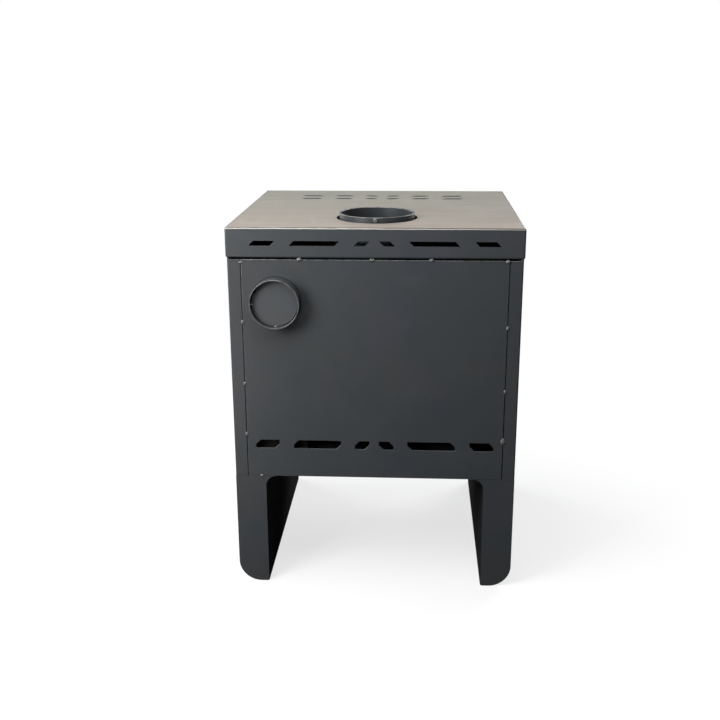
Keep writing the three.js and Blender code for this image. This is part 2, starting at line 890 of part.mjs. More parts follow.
function doorFrame() {
  const face = ring(
    "y",
    doorInset(0, 5),
    roundedRectangle(-glassHoleHalf, glassHoleHalf, glassHoleBottom, glassHoleTop, 8),
    [doorFront, doorInnerFace],
    4,
  );
  const root = doorInnerFace - doorFaceSheet / 5;
  const outerLip = ring("y", doorInset(0, 5), doorInset(channelOuter, 3), [root, doorBack], 4);
  const innerRing = ring(
    "y",
    doorInset(channelInner, 3),
    doorInset(innerLipEdge, 2),
    [root, doorBack - innerLipDrop],
    4,
  );
  const through = [doorFront - pass, doorBack + pass];
  const spindleHole = bar("y", [latchX, doorMiddle], spindleRadius + gap, through);
  const tapped = [doorInnerFace - clipScrewDepth - gap, doorBack];
  const screwHoles = clipPlaces.map(({ x, edge, end }) =>
    bar("y", [x, edge + end * clipScrewReach], clipScrewRadius + gap, tapped, 12),
  );
  return cut(join(face, outerLip, innerRing), spindleHole, ...screwHoles);
}

function ropeSeal() {
  const inner = doorInset(channelInner - ropeClearance, 3);
  const outer = doorInset(channelOuter + ropeClearance, 3);
  return ring("y", outer, inner, [doorInnerFace + gap, doorInnerFace + gap + ropeSize], 3);
}

function glassOutline(inset, radius) {
  return roundedRectangle(
    -glassHoleHalf - glassLap + inset,
    glassHoleHalf + glassLap - inset,
    glassHoleBottom - glassLap + inset,
    glassHoleTop + glassLap - inset,
    radius,
  );
}

const gasketFront = doorInnerFace + gap;
const glassFront = gasketFront + gasketThickness + gap;
const glassBack = glassFront + glassThickness;

function glassGasket() {
  const span = [gasketFront, gasketFront + gasketThickness];
  return ring("y", glassOutline(1, 4), glassOutline(glassLap - 1, 4), span, 3);
}

function doorGlass() {
  return plate("y", glassOutline(0, 4), [glassFront, glassBack], 3);
}

// A stepped clip: its foot is screwed to the door and its toe presses on the glass.
function glassClip({ x, edge, end }) {
  const foot = doorInnerFace + gap;
  const toe = glassBack + gap;
  const past = (distance) => edge + end * distance;
  const profile = outline([
    [foot, past(clipReach)],
    [foot, past(1)],
    [toe, past(1)],
    [toe, past(-clipToe)],
    [toe + clipSheet, past(-clipToe)],
    [toe + clipSheet, past(1 + clipSheet)],
    [foot + clipSheet, past(1 + clipSheet)],
    [foot + clipSheet, past(clipReach)],
  ]);
  const strip = plate("x", profile, [x - clipWidth / 2, x + clipWidth / 2]);
  const through = [foot - pass, toe + pass];
  const hole = bar("y", [x, past(clipScrewReach)], clipScrewRadius + gap, through, 12);
  return cut(strip, hole);
}

function clipScrew({ x, edge, end }) {
  const z = edge + end * clipScrewReach;
  const seat = doorInnerFace + gap + clipSheet + gap;
  const head = bar("y", [x, z], clipScrewHead, [seat, seat + clipScrewHeadHeight], 20);
  const tip = doorInnerFace - clipScrewDepth;
  const shank = bar("y", [x, z], clipScrewRadius, [tip, seat + clipScrewHeadHeight / 2], 12);
  return join(head, shank);
}

// ---- Hinges ----

const hinges = [
  { name: "lower", z: doorBottom + hingeInset },
  { name: "upper", z: doorTop - hingeInset },
];

function hingeKnuckle({ z }) {
  const span = [z - knuckleHeight / 2, z + knuckleHeight / 2];
  const barrel = bar("z", [hingeX, hingeY], knuckleRadius, span, 32);
  const leaf = block([hingeX, -doorHalf - gap], [hingeY - leafHalf, hingeY + leafHalf], span);
  const through = [span[0] - pass, span[1] + pass];
  const bore = bar("z", [hingeX, hingeY], pinRadius + slideGap, through, 24);
  return cut(join(barrel, leaf), bore);
}

function hingeBracket({ z }) {
  const top = z - knuckleHeight / 2 - slideGap;
  const span = [top - lugHeight, top];
  const lug = bar("z", [hingeX, hingeY], knuckleRadius, span, 32);
  const arm = block([hingeX - armOut, hingeX + armIn], [hingeY, frontY - gap], span);
  const through = [span[0] - pass, span[1] + pass];
  const bore = bar("z", [hingeX, hingeY], pinRadius + gap, through, 24);
  return cut(join(lug, arm), bore);
}

function hingePin({ z }) {
  const top = z + knuckleHeight / 2 + pinRise;
  const low = z - knuckleHeight / 2 - slideGap - lugHeight - gap;
  const taper = pinRadius / 2;
  const profile = [
    [0, low - pinRadius],
    [pinHead - 0.5, low - pinRadius],
    [pinHead, low],
    [pinRadius, low],
    [pinRadius, top - taper],
    [pinRadius - taper, top],
    [0, top],
  ];
  return lathed(profile, [hingeX, hingeY], 24);
}

// ---- Handle and latch ----

const tongueFront = plateBackY + tongueSetback;
const tongueBack = tongueFront + tongueSheet;
const leverDrop = doorMiddle - doorBottom;
const latchAxis = [latchX, doorMiddle];

// The lever's line: shares of the standoff and of the drop below the spindle.
const leverBends = [
  [0, 0.059],
  [0, 0.119],
  [0.25, 0.2],
  [0.8, 0.282],
  [1, 0.348],
  [1, 0.378],
  [1, 0.408],
];

function handleSpindle() {
  const shoulder = tongueFront - gap;
  const end = tongueBack + nutThickness + tongueSetback;
  const thick = bar("y", latchAxis, spindleRadius, [hubFront + hubLength / 4, shoulder], 24);
  const thread = bar("y", latchAxis, threadRadius, [shoulder - 1, end], 20);
  return join(thick, thread);
}

function handleLever() {
  const hub = bar("y", latchAxis, hubRadius, [hubFront, hubFront + hubLength], 32);
  const bottom = hubFront + hubLength / 4 - slideGap;
  const socket = bar("y", latchAxis, spindleRadius + gap, [bottom, doorFront + pass], 24);
  const bends = [...leverBends, [1, 1 - (gripEnd + gap) / leverDrop]];
  const curve = new THREE.CatmullRomCurve3(
    bends.map(([out, down]) => {
      return new THREE.Vector3(latchX, hubY - out * handleStandoff, doorMiddle - down * leverDrop);
    }),
  );
  const section = new THREE.Shape().absarc(0, 0, leverRadius, 0, 2 * halfTurn, false);
  const options = { steps: 24, extrudePath: curve, bevelEnabled: false, curveSegments: 8 };
  return cut(join(hub, solid(new THREE.ExtrudeGeometry(section, options))), socket);
}

function handleGrip() {
  const low = doorMiddle - leverDrop;
  const length = gripShare * leverDrop;
  const top = low + length;
  const profile = [
    [leverRadius + gap, low + gripEnd],
    [leverRadius + gap, top],
    [gripRadius - gripTaper, top],
    [gripRadius, top - length * 0.3],
    [gripRadius, top - length * 0.7],
    [gripRadius - gripTaper, low],
    [0, low],
    [0, low + gripEnd],
    [leverRadius + gap, low + gripEnd],
  ];
  return lathed(profile.reverse(), [latchX, gripY], 28);
}

function latchTongue() {
  const shape = new THREE.Shape();
  const tip = latchX + tongueLength;
  const nose = tongueHalf - 4;
  shape.absarc(latchX, doorMiddle, tongueHub, 0.25 * halfTurn, 1.75 * halfTurn, false);
  shape.lineTo(tip - 3, doorMiddle - tongueHalf);
  shape.lineTo(tip, doorMiddle - nose);
  shape.lineTo(tip, doorMiddle + nose);
  shape.lineTo(tip - 3, doorMiddle + tongueHalf);
  shape.closePath();
  const through = [tongueFront - pass, tongueBack + pass];
  const bore = bar("y", latchAxis, threadRadius + gap, through, 20);
  return cut(plate("y", shape, [tongueFront, tongueBack]), bore);
}

function latchNut() {
  const start = tongueBack + gap;
  const end = start + nutThickness;
  const hex = plate("y", hexagon(latchAxis, nutRadius), [start, end]);
  return cut(hex, bar("y", latchAxis, threadRadius + gap, [start - pass, end + pass], 20));
}

// The keeper behind the front plate that the tongue turns into.
function catchPlate() {
  const x = apertureHalf + 1;
  const y = plateBackY + gap;
  const span = [doorMiddle - catchHalf, doorMiddle + catchHalf];
  const base = block([x, x + catchWidth], [y, y + catchSheet], span);
  const lip = block([x, x + catchSheet], [y, y + catchLip], span);
  return join(base, lip);
}

// ---- Assembly ----

node("top_tray", topTray(), "top");
node("rear_cover", rearCover(), "casing");
node("left_side_panel", sidePanel(-1), "casing");
node("right_side_panel", sidePanel(1), "casing");
node("base_plate", basePlate(), "casing");
node("front_plate", frontPlate(), "casing");
node("left_leg", leg(-1), "casing");
node("right_leg", leg(1), "casing");
legBoltPlaces.forEach((place, i) => node(`leg_bolt_${i + 1}`, legBolt(place), "bright"));

node("firebox_left_wall", fireWall(-1), "firebox");
node("firebox_right_wall", fireWall(1), "firebox");
node("firebox_back_wall", backWall(), "firebox");
node("firebox_top_plate", fireTopPlate(), "firebox");
node("firebox_floor", fireFloor(), "firebox");
node("air_duct", airDuct(), "firebox");
node("grate", grate(), "castIron");
node("left_brick", sideBrick(-1), "brick");
node("right_brick", sideBrick(1), "brick");
node("back_brick", backBrick(), "brick");
node("baffle_plate", baffle(), "brick");
node("airwash_deflector", airwashDeflector(), "firebox");
node("log_guard", logGuard(), "firebox");

node("flue_collar", flueCollar(), "casing");
node("collar_screw", collarScrew(), "bright");
node("air_spigot", airSpigot(), "casing");
node("spigot_blanking_plate", spigotBlank(), "casing");
node("catch_plate", catchPlate(), "firebox");
slideScrewPlaces.forEach((x, i) => node(`slide_screw_${i + 1}`, slideScrew(x), "bright"));

for (const hinge of hinges) {
  node(`${hinge.name}_hinge_bracket`, hingeBracket(hinge), "casing");
  node(`${hinge.name}_hinge_pin`, hingePin(hinge), "bright");
  node(`${hinge.name}_hinge_knuckle`, hingeKnuckle(hinge), "casing");
}

node("door_frame", doorFrame(), "casing");
node("door_glass", doorGlass(), "glass");
node("door_rope_seal", ropeSeal(), "rope");
node("glass_gasket", glassGasket(), "rope");
clipPlaces.forEach((place, i) => {
  node(`glass_clip_${i + 1}`, glassClip(place), "bright");
  node(`clip_screw_${i + 1}`, clipScrew(place), "bright");
});

node("handle_spindle", handleSpindle(), "bright");
node("handle_lever", handleLever(), "blackSteel");
node("handle_grip", handleGrip(), "bright");
node("latch_tongue", latchTongue(), "bright");
node("latch_nut", latchNut(), "bright");

node("air_slide", airSlide(), "casing");
node("air_slide_knob", knob(knobProfile, [0, slideFront, slideZ]), "bright");
node("ash_pan", ashPan(), "firebox");
node("ash_pan_front", ashPanFront(), "casing");
node("ash_pan_knob", knob(knobProfile, [0, panFrontY, panFrontZ]), "bright");

// The box runs from the grip in front to the spigot's end behind.
const boxFront = gripY - gripRadius;
const boxRear = rearY + spigotProjection;
stove.position.y = -(boxFront + boxRear) / 2;

export default stove;
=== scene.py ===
"""Looks of a free-standing wood burning stove in welded sheet steel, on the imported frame.

Lengths are metres, +Z is up, the door faces -Y and the floor is Z = 0. Each operator
makes one piece or a group of like pieces around the CAD solids they stand for.
"""

import math
import random

import bmesh
import bpy
from bpy.props import FloatProperty, FloatVectorProperty, IntProperty, PointerProperty
from mathutils import Matrix, Vector, noise


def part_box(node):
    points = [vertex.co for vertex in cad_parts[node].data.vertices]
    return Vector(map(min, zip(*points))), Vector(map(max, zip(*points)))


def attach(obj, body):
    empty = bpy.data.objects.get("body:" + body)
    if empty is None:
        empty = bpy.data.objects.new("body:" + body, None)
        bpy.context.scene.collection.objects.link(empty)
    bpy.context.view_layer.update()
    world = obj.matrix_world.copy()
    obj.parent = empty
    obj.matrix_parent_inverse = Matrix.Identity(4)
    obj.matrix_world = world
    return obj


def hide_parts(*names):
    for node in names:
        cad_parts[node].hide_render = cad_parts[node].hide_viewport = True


bl_info = {
    "name": "Wood Burning Stove",
    "version": (1, 0, 0),
    "blender": (4, 5, 0),
    "location": "3D View > Sidebar > Stove",
    "description": "Makes the pieces and finishes of a sheet steel wood burning stove",
    "category": "Object",
}

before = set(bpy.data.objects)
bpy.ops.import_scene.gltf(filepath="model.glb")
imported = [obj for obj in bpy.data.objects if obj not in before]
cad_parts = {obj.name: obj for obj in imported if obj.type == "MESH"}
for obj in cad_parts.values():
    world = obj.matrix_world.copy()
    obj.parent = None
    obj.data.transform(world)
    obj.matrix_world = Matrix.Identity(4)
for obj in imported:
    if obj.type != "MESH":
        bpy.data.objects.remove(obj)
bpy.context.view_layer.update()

MM = 0.001
FULL_TURN = 2 * math.pi
FLAT = math.radians(0.5)  # faces closer than this are one sheet face
SHARP = math.radians(30)  # edges over this are rounded
CREASE = math.radians(50)  # edges over this stay creased in the shading
ROUND_CREASE = math.radians(60)  # the same on knobs and the grip
ROPE_CREASE = math.radians(80)  # the same between the rope's strands
ON = 1e-5  # a vertex this close to a plane is on it
FOLD_DEPTH = 0.0035  # how far down the tray's fold with its painted highlight and painted dark line reaches
OUTLINE = 0.0012  # an edge this close to two sides of a sheet's box is on its outline


# ---- Sizes and colours ----


def colour(name, description, default):
    return FloatVectorProperty(
        name=name,
        description=description,
        default=default,
        size=4,
        subtype="COLOR",
        min=0.0,
        max=1.0,
    )


def length(name, description, default):
    return FloatProperty(
        name=name, description=description, default=default, min=0.0, unit="LENGTH"
    )


class StoveColours(bpy.types.PropertyGroup):
    """Colours of the stove's finishes"""

    casing: colour("Casing", "Heat proof paint of the casing", (0.047, 0.05, 0.053, 1))
    casing_cool: colour("Casing patch", "Cooler cloud in the paint", (0.036, 0.043, 0.05, 1))
    casing_edge: colour("Casing edge", "Thin paint on sheet edges", (0.2, 0.205, 0.205, 1))
    # The top's pale warm grey is partly its own finish and partly a painted reflection of bright
    # surroundings; its warmer tone towards the flue is a painted reflection.
    top: colour("Top plate", "Upper face of the top tray", (0.25, 0.24, 0.2, 1))
    top_warm_reflection: colour("Top plate, rear", "Warmer tone towards the flue", (0.255, 0.22, 0.19, 1))
    top_streak: colour("Rolling marks", "Darker streaks across the top", (0.15, 0.143, 0.122, 1))
    fire_steel: colour("Firebox steel", "Mill scale and soot", (0.035, 0.034, 0.034, 1))
    rust: colour("Light rust", "Bloom on bare hot steel", (0.13, 0.065, 0.035, 1))
    iron: colour("Cast iron", "Grate casting", (0.045, 0.044, 0.045, 1))
    brick: colour("Vermiculite", "Pressed fire board", (0.56, 0.45, 0.26, 1))
    fleck: colour("Vermiculite fleck", "Mica flakes in the board", (0.34, 0.24, 0.11, 1))
    glass: colour("Glass", "Heat proof glass", (0.86, 0.86, 0.82, 1))
    rope: colour("Rope", "Glass fibre rope", (0.06, 0.06, 0.062, 1))
    bright: colour("Bright steel", "Turned and plated steel", (0.62, 0.62, 0.6, 1))
    black: colour("Black steel", "Oil blacked bar", (0.05, 0.05, 0.052, 1))
    weld: colour("Weld", "Tack weld metal", (0.2, 0.207, 0.205, 1))


class StoveSizes(bpy.types.PropertyGroup):
    """Sizes of the stove's finishing details"""

    tray_bend: length("Tray bend", "Outside radius of the tray's folds", 0.003)
    panel_bend: length("Panel bend", "Outside radius of the side panel's fold", 0.0025)
    sheet_edge: length("Sheet edge", "Rounding of a cut sheet edge", 0.0004)
    plate_edge: length("Plate edge", "Rounding of a thick plate's edge", 0.0007)
    brick_edge: length("Board edge", "Rounding of the fire boards", 0.002)
    rope_lobe: length("Rope strand", "How far the rope's strands stand out", 0.0011)
    turning_steps: IntProperty(
        name="Turning steps", description="Steps round a turned piece", default=96, min=24
    )


def colours():
    return bpy.context.scene.stove_colours


def sizes():
    return bpy.context.scene.stove_sizes


# ---- Node helpers ----


def fill(node, values):
    """Sets a node's inputs by name or place: each value is a socket to join, or a value."""
    for key, value in values.items():
        if isinstance(value, bpy.types.NodeSocket):
            node.id_data.links.new(value, node.inputs[key])
        else:
            node.inputs[key].default_value = value


class Nodes:
    """Adds joined nodes to a shader tree. Patterns lie in the piece's own coordinates."""

    def __init__(self, tree):
        self.tree = tree

    def put(self, kind, values=None, **settings):
        """Adds a node with its settings and inputs."""
        made = self.tree.nodes.new(kind)
        for key, value in settings.items():
            setattr(made, key, value)
        fill(made, values or {})
        return made

    def spread(self, value, low, high, to_low=0.0, to_high=1.0):
        """Maps a range of a value to another range and clamps it."""
        ends = {0: value, 1: low, 2: high, 3: to_low, 4: to_high}
        return self.put("ShaderNodeMapRange", ends).outputs["Result"]

    def blend(self, factor, first, second, way="MIX"):
        values = {0: factor, 6: first, 7: second}
        return self.put("ShaderNodeMix", values, data_type="RGBA", blend_type=way).outputs[2]

    def maths(self, operation, first, second):
        values = {0: first, 1: second}
        return self.put("ShaderNodeMath", values, operation=operation).outputs[0]

    def times(self, first, second):
        return self.maths("MULTIPLY", first, second)

    def plus(self, first, second):
        return self.maths("ADD", first, second)

    def place(self):
        return self.put("ShaderNodeTexCoord").outputs["Object"]

    def grain(self, scale, detail=2.0, rough=0.5, place=None):
        values = {"Scale": scale, "Detail": detail, "Roughness": rough}
        values["Vector"] = place or self.place()
        return self.put("ShaderNodeTexNoise", values).outputs["Fac"]

    def group(self, shared, values=None):
        return self.put("ShaderNodeGroup", values, node_tree=shared).outputs


def made_group(name, inputs, outputs, build):
    """A shader node group, built once. Build joins its inputs to its outputs."""
    if name in bpy.data.node_groups:
        return bpy.data.node_groups[name]
    tree = bpy.data.node_groups.new(name, "ShaderNodeTree")
    for label, (kind, default) in inputs.items():
        socket = tree.interface.new_socket(name=label, in_out="INPUT", socket_type=kind)
        socket.default_value = default
    for label, kind in outputs.items():
        tree.interface.new_socket(name=label, in_out="OUTPUT", socket_type=kind)
    source = tree.nodes.new("NodeGroupInput").outputs
    made = build(Nodes(tree), source)
    sink = tree.nodes.new("NodeGroupOutput").inputs
    for label, socket in made.items():
        tree.links.new(socket, sink[label])
    return tree


FLOAT = "NodeSocketFloat"
COLOR = "NodeSocketColor"
VECTOR = "NodeSocketVector"


# ---- Shared effects ----


def effect(name, inputs, outputs):
    """Makes a function that joins inputs to outputs give its node group."""
    return lambda build: lambda: made_group(name, inputs, outputs, build)


@effect(
    "Sprayed Paint",
    {
        "Colour": (COLOR, (0.05, 0.05, 0.05, 1)),
        "Patch": (COLOR, (0.04, 0.04, 0.05, 1)),
        "Tint": (COLOR, (0.045, 0.045, 0.06, 1)),
        "Patch Scale": (FLOAT, 6.0),
        "Satin": (FLOAT, 0.42),
    },
    {"Colour": COLOR, "Roughness": FLOAT, "Height": FLOAT},
)
def paint_effect(n, source):
    """Sprayed heat proof paint: clouds, a faint tint, fine grain and orange peel."""
    clouds = n.grain(source["Patch Scale"], 3.0, 0.55)
    tint = n.grain(n.times(source["Patch Scale"], 2.3), 2.0)
    peel = n.grain(420.0, 2.0)
    speck = n.grain(1500.0, 1.0)
    tone = n.blend(n.spread(clouds, 0.35, 0.68), source["Colour"], source["Patch"])
    tone = n.blend(n.spread(tint, 0.55, 0.75, 0.0, 0.5), tone, source["Tint"])
    shade = n.spread(speck, 0.3, 0.7, 0.86, 1.14)
    tone = n.blend(1.0, tone, shade, "MULTIPLY")
    satin = n.plus(source["Satin"], n.spread(clouds, 0.3, 0.7, -0.05, 0.05))
    satin = n.plus(satin, n.spread(speck, 0.3, 0.7, -0.03, 0.03))
    height = n.plus(peel, n.times(speck, 0.35))
    return {"Colour": tone, "Roughness": satin, "Height": height}


@effect(
    "Streaks",
    {
        "Stretch": (VECTOR, (5.0, 60.0, 60.0)),
        "Low": (FLOAT, 0.45),
        "High": (FLOAT, 0.7),
    },
    {"Mask": FLOAT},
)
def streak_effect(n, source):
    """Long marks along one direction: Stretch is the pattern's scale along X, Y and Z."""
    place = n.put("ShaderNodeMapping",
        {"Vector": n.place(), "Scale": source["Stretch"]},
    ).outputs[0]
    marks = n.grain(1.0, 4.0, 0.6, place)
    return {"Mask": n.spread(marks, source["Low"], source["High"])}


@effect("Pressed Grain", {"Scale": (FLOAT, 300.0)}, {"Height": FLOAT, "Hollows": FLOAT})
def grain_effect(n, source):
    """Sand cast or pressed grain: a pitted height and a mask of its hollows."""
    place = n.place()
    coarse = n.grain(source["Scale"], 5.0, 0.65)
    cells = n.put("ShaderNodeTexVoronoi",
        {"Vector": place, "Scale": n.times(source["Scale"], 1.7)},
    ).outputs["Distance"]
    height = n.plus(coarse, n.times(cells, 0.4))
    return {"Height": height, "Hollows": n.spread(height, 0.75, 0.45)}


@effect("Soot", {"Clean": (FLOAT, 0.3), "Black": (FLOAT, 0.5)}, {"Mask": FLOAT})
def soot_effect(n, source):
    """Soft smoke stain that gathers between two heights."""
    place = n.place()
    height = n.put("ShaderNodeSeparateXYZ", {0: place}).outputs["Z"]
    rise = n.put("ShaderNodeMapRange",
        {"Value": height, "From Min": source["Clean"], "From Max": source["Black"]},
    ).outputs["Result"]
    broken = n.spread(n.grain(14.0, 4.0, 0.6), 0.3, 0.7, 0.35, 1.25)
    return {"Mask": n.put("ShaderNodeMath", {0: rise, 1: broken}, use_clamp=True,
                        operation="MULTIPLY").outputs[0]}


@effect("Weave", {"Strands": (FLOAT, 150.0)}, {"Height": FLOAT, "Hollows": FLOAT})
def weave_effect(n, source):
    """Fine strands that cross in the plane of the door."""
    place = n.place()
    waves = []
    for turn in (0.785, -0.785):
        slanted = n.put("ShaderNodeMapping", {"Vector": place, "Rotation": (0, turn, 0)}
        ).outputs[0]
        values = {"Vector": slanted, "Scale": source["Strands"], "Distortion": 0.4}
        waves.append(n.put("ShaderNodeTexWave", values).outputs["Fac"])
    height = n.maths("MAXIMUM", *waves)
    return {"Height": height, "Hollows": n.spread(height, 0.6, 0.2)}


# ---- Finishes ----


def made_material(name, build):
    """A material, built once. Build returns the shader's linked and plain inputs."""
    if name in bpy.data.materials:
        return bpy.data.materials[name]
    material = bpy.data.materials.new(name)
    material.use_nodes = True
    tree = material.node_tree
    shader = tree.nodes["Principled BSDF"]
    nodes = Nodes(tree)
    values = build(nodes, colours())
    height, distance = values.pop("Height", (None, 0))
    if height is not None:
        bump = {"Height": height, "Distance": distance, "Strength": 1.0}
        values["Normal"] = nodes.put("ShaderNodeBump", bump).outputs[0]
    fill(shader, values)
    return material


def finish(name):
    """Makes a function that returns the shader's inputs give its material."""
    return lambda build: lambda: made_material(name, build)


def shaded(colour, share):
    return (*(part * share for part in colour[:3]), 1)


def casing_paint(name="Casing Paint", share=1.0, gloss=0.5):
    """The casing's paint. Share darkens it as painted shade or pales it as painted light, and
    gloss sets its shine.
    """

    def build(n, c):
        tones = {
            "Colour": shaded(c.casing, share),
            "Patch": shaded(c.casing_cool, share),
            "Tint": shaded((0.05, 0.046, 0.06), share),
        }
        paint = n.group(paint_effect(), tones)
        rubs = n.group(streak_effect(), {"Stretch": (9, 9, 34), "Low": 0.62, "High": 0.8}
        )["Mask"]
        tone = n.blend(n.times(rubs, 0.05), paint["Colour"], c.casing_edge)
        return {
            "Base Color": tone,
            "Roughness": paint["Roughness"],
            "Height": (paint["Height"], 0.00006),
            "Specular IOR Level": gloss,
        }

    return made_material(name, build)


@finish("Casing Edge")
def casing_edge(n, c):
    worn = n.spread(n.grain(90.0, 4.0, 0.7), 0.38, 0.6)
    tone = n.blend(worn, c.casing, c.casing_edge)
    return {
        "Base Color": tone,
        "Metallic": n.spread(worn, 0.5, 1.0, 0.0, 0.45),
        "Roughness": n.spread(worn, 0.0, 1.0, 0.45, 0.33),
        "Height": (worn, 0.00004),
    }


@finish("Top Plate Paint And Reflection")
def top_plate_paint_and_reflection(n, c):
    # Pale warm grey: partly the top's own finish, partly a painted reflection of bright
    # surroundings. The warmer tone towards the rear is a painted reflection.
    place = n.place()
    split = n.put("ShaderNodeSeparateXYZ", {0: place})
    warm_reflection_share = n.spread(split.outputs["Y"], -0.08, 0.2)
    paint = n.group(paint_effect(),
        {"Colour": c.top, "Patch": (0.22, 0.212, 0.185, 1), "Tint": (0.28, 0.265, 0.23, 1),
         "Patch Scale": 7.0, "Satin": 0.4},
    )
    tone = n.blend(warm_reflection_share, paint["Colour"], c.top_warm_reflection)
    streaks = n.group(streak_effect(), {"Stretch": (4, 55, 55)})["Mask"]
    fine = n.group(streak_effect(), {"Stretch": (14, 420, 420), "Low": 0.4, "High": 0.75}
    )["Mask"]
    tone = n.blend(n.times(streaks, 0.42), tone, c.top_streak)
    tone = n.blend(n.times(fine, 0.2), tone, c.top_streak)
    wipes = n.group(streak_effect(), {"Stretch": (30, 7, 10), "Low": 0.55, "High": 0.8}
    )["Mask"]
    tone = n.blend(n.times(wipes, 0.3), tone, (0.34, 0.325, 0.285, 1))
    satin = n.plus(paint["Roughness"], n.spread(fine, 0, 1, -0.05, 0.06))
    return {
        "Base Color": tone,
        "Roughness": satin,
        "Height": (n.plus(paint["Height"], fine), 0.00004),
    }


@finish("Tray Fold Painted Reflection")
def tray_fold_painted_reflection(n, c):
    """The fold round the tray: a painted dark reflection line above and a painted highlight of
    pale, slightly metallic paint below it.
    """
    place = n.place()
    height = n.put("ShaderNodeSeparateXYZ", {0: place}).outputs["Z"]
    broken = n.spread(n.grain(60.0, 4.0, 0.6), 0.3, 0.7, -0.0004, 0.0004)
    height = n.plus(height, broken)
    # The pale band is a painted highlight and the dark line above it is a painted reflection.
    bright = n.spread(height, 0.6153, 0.6162)
    painted_dark_line = n.spread(height, 0.6166, 0.6172)
    tone = n.blend(bright, c.casing, (0.34, 0.33, 0.31, 1))
    tone = n.blend(painted_dark_line, tone, (0.075, 0.065, 0.055, 1))
    return {
        "Base Color": tone,
        "Metallic": n.spread(bright, 0.0, 1.0, 0.0, 0.3),
        "Roughness": n.spread(bright, 0.0, 1.0, 0.42, 0.34),
        "Height": (n.grain(420.0), 0.00004),
    }


@finish("Firebox Steel")
def firebox_steel(n, c):
    scale = n.grain(22.0, 5.0, 0.6)
    pits = n.group(grain_effect(), {"Scale": 260.0})
    soot = n.group(soot_effect(), {"Clean": 0.2, "Black": 0.62})["Mask"]
    tone = n.blend(n.spread(scale, 0.4, 0.65), c.fire_steel, (0.06, 0.06, 0.066, 1))
    rust = n.times(n.spread(scale, 0.6, 0.8), 0.45)
    tone = n.blend(rust, tone, c.rust)
    tone = n.blend(n.times(soot, 0.6), tone, (0.012, 0.012, 0.012, 1))
    return {
        "Base Color": tone,
        "Metallic": 0.25,
        "Roughness": n.spread(scale, 0.3, 0.7, 0.55, 0.78),
        "Height": (pits["Height"], 0.00008),
    }


@finish("Painted Shade Steel")
def painted_shade_steel(n, c):
    """Near black dull steel as painted shade: behind the casing's vents, on the legs' inner faces
    and in the side panels' rear seams.
    """
    scale = n.grain(30.0, 4.0, 0.6)
    return {
        "Base Color": n.blend(scale, (0.006, 0.006, 0.007, 1), (0.014, 0.013, 0.013, 1)),
        "Roughness": n.spread(scale, 0.3, 0.7, 0.7, 0.9),
        "Height": (scale, 0.0001),
        "Specular IOR Level": 0.2,
    }


@finish("Cast Iron")
def cast_iron(n, c):
    casting = n.group(grain_effect(), {"Scale": 380.0})
    bloom = n.spread(n.grain(34.0, 4.0, 0.6), 0.52, 0.75)
    tone = n.blend(casting["Hollows"], c.iron, (0.02, 0.02, 0.02, 1))
    tone = n.blend(n.times(bloom, 0.6), tone, c.rust)
    return {
        "Base Color": tone,
        "Metallic": 0.3,
        "Roughness": n.spread(casting["Height"], 0.3, 0.9, 0.6, 0.85),
        "Height": (casting["Height"], 0.0003),
    }


@finish("Vermiculite Board")
def vermiculite(n, c):
    place = n.place()
    pressed = n.group(grain_effect(), {"Scale": 210.0})
    flakes = n.put("ShaderNodeTexVoronoi", {"Vector": place, "Scale": 330.0, "Randomness": 1.0}
    )
    picked = n.spread(n.put("ShaderNodeSeparateColor", {0: flakes.outputs["Color"]}).outputs[0],
        0.62, 0.7,
    )
    soot = n.group(soot_effect(), {"Clean": 0.33, "Black": 0.56})["Mask"]
    ash = n.spread(n.grain(18.0, 4.0, 0.65), 0.5, 0.72)
    tone = n.blend(n.times(picked, 0.7), c.brick, c.fleck)
    tone = n.blend(n.times(pressed["Hollows"], 0.5), tone, c.fleck)
    tone = n.blend(n.times(ash, 0.35), tone, (0.5, 0.49, 0.46, 1))
    tone = n.blend(n.times(soot, 0.82), tone, (0.03, 0.028, 0.026, 1))
    return {
        "Base Color": tone,
        "Roughness": n.spread(pressed["Height"], 0.3, 0.9, 0.8, 0.98),
        "Height": (pressed["Height"], 0.0006),
    }


@finish("Stove Glass")
def stove_glass(n, c):
    haze = n.spread(n.grain(9.0, 4.0, 0.6), 0.4, 0.75)
    smoke = n.group(soot_effect(), {"Clean": 0.47, "Black": 0.56})["Mask"]
    tone = n.blend(n.times(smoke, 0.35), c.glass, (0.3, 0.24, 0.18, 1))
    return {
        "Base Color": tone,
        "Transmission Weight": 1.0,
        "Metallic": 0.0,
        "IOR": 1.47,
        "Roughness": n.spread(haze, 0.0, 1.0, 0.01, 0.05),
    }


@finish("Glass Fibre Rope")
def glass_rope(n, c):
    weave = n.group(weave_effect(), {"Strands": 130.0})
    fuzz = n.grain(900.0, 3.0, 0.6)
    tone = n.blend(weave["Hollows"], c.rope, (0.02, 0.02, 0.02, 1))
    tone = n.blend(n.spread(fuzz, 0.5, 0.75, 0.0, 0.6), tone, (0.16, 0.16, 0.155, 1))
    height = n.plus(weave["Height"], n.times(fuzz, 0.6))
    return {
        "Base Color": tone,
        "Roughness": n.spread(fuzz, 0.3, 0.7, 0.82, 0.97),
        "Height": (height, 0.0004),
        "Sheen Weight": 0.25,
    }


def metal(n, clouds, tones, span, rough, share, height):
    """A metal's shader inputs: tones and roughness follow the clouds."""
    return {
        "Base Color": n.blend(n.spread(clouds, *span), *tones),
        "Metallic": share,
        "Roughness": n.spread(clouds, 0.3, 0.7, *rough),
        "Height": height,
    }


@finish("Bright Steel")
def bright_steel(n, c):
    tones = (c.bright, (0.5, 0.49, 0.46, 1))
    lines = (n.grain(1800.0, 2.0, 0.6), 0.00002)
    return metal(n, n.grain(120.0, 3.0, 0.6), tones, (0.35, 0.7), (0.24, 0.38), 0.92, lines)


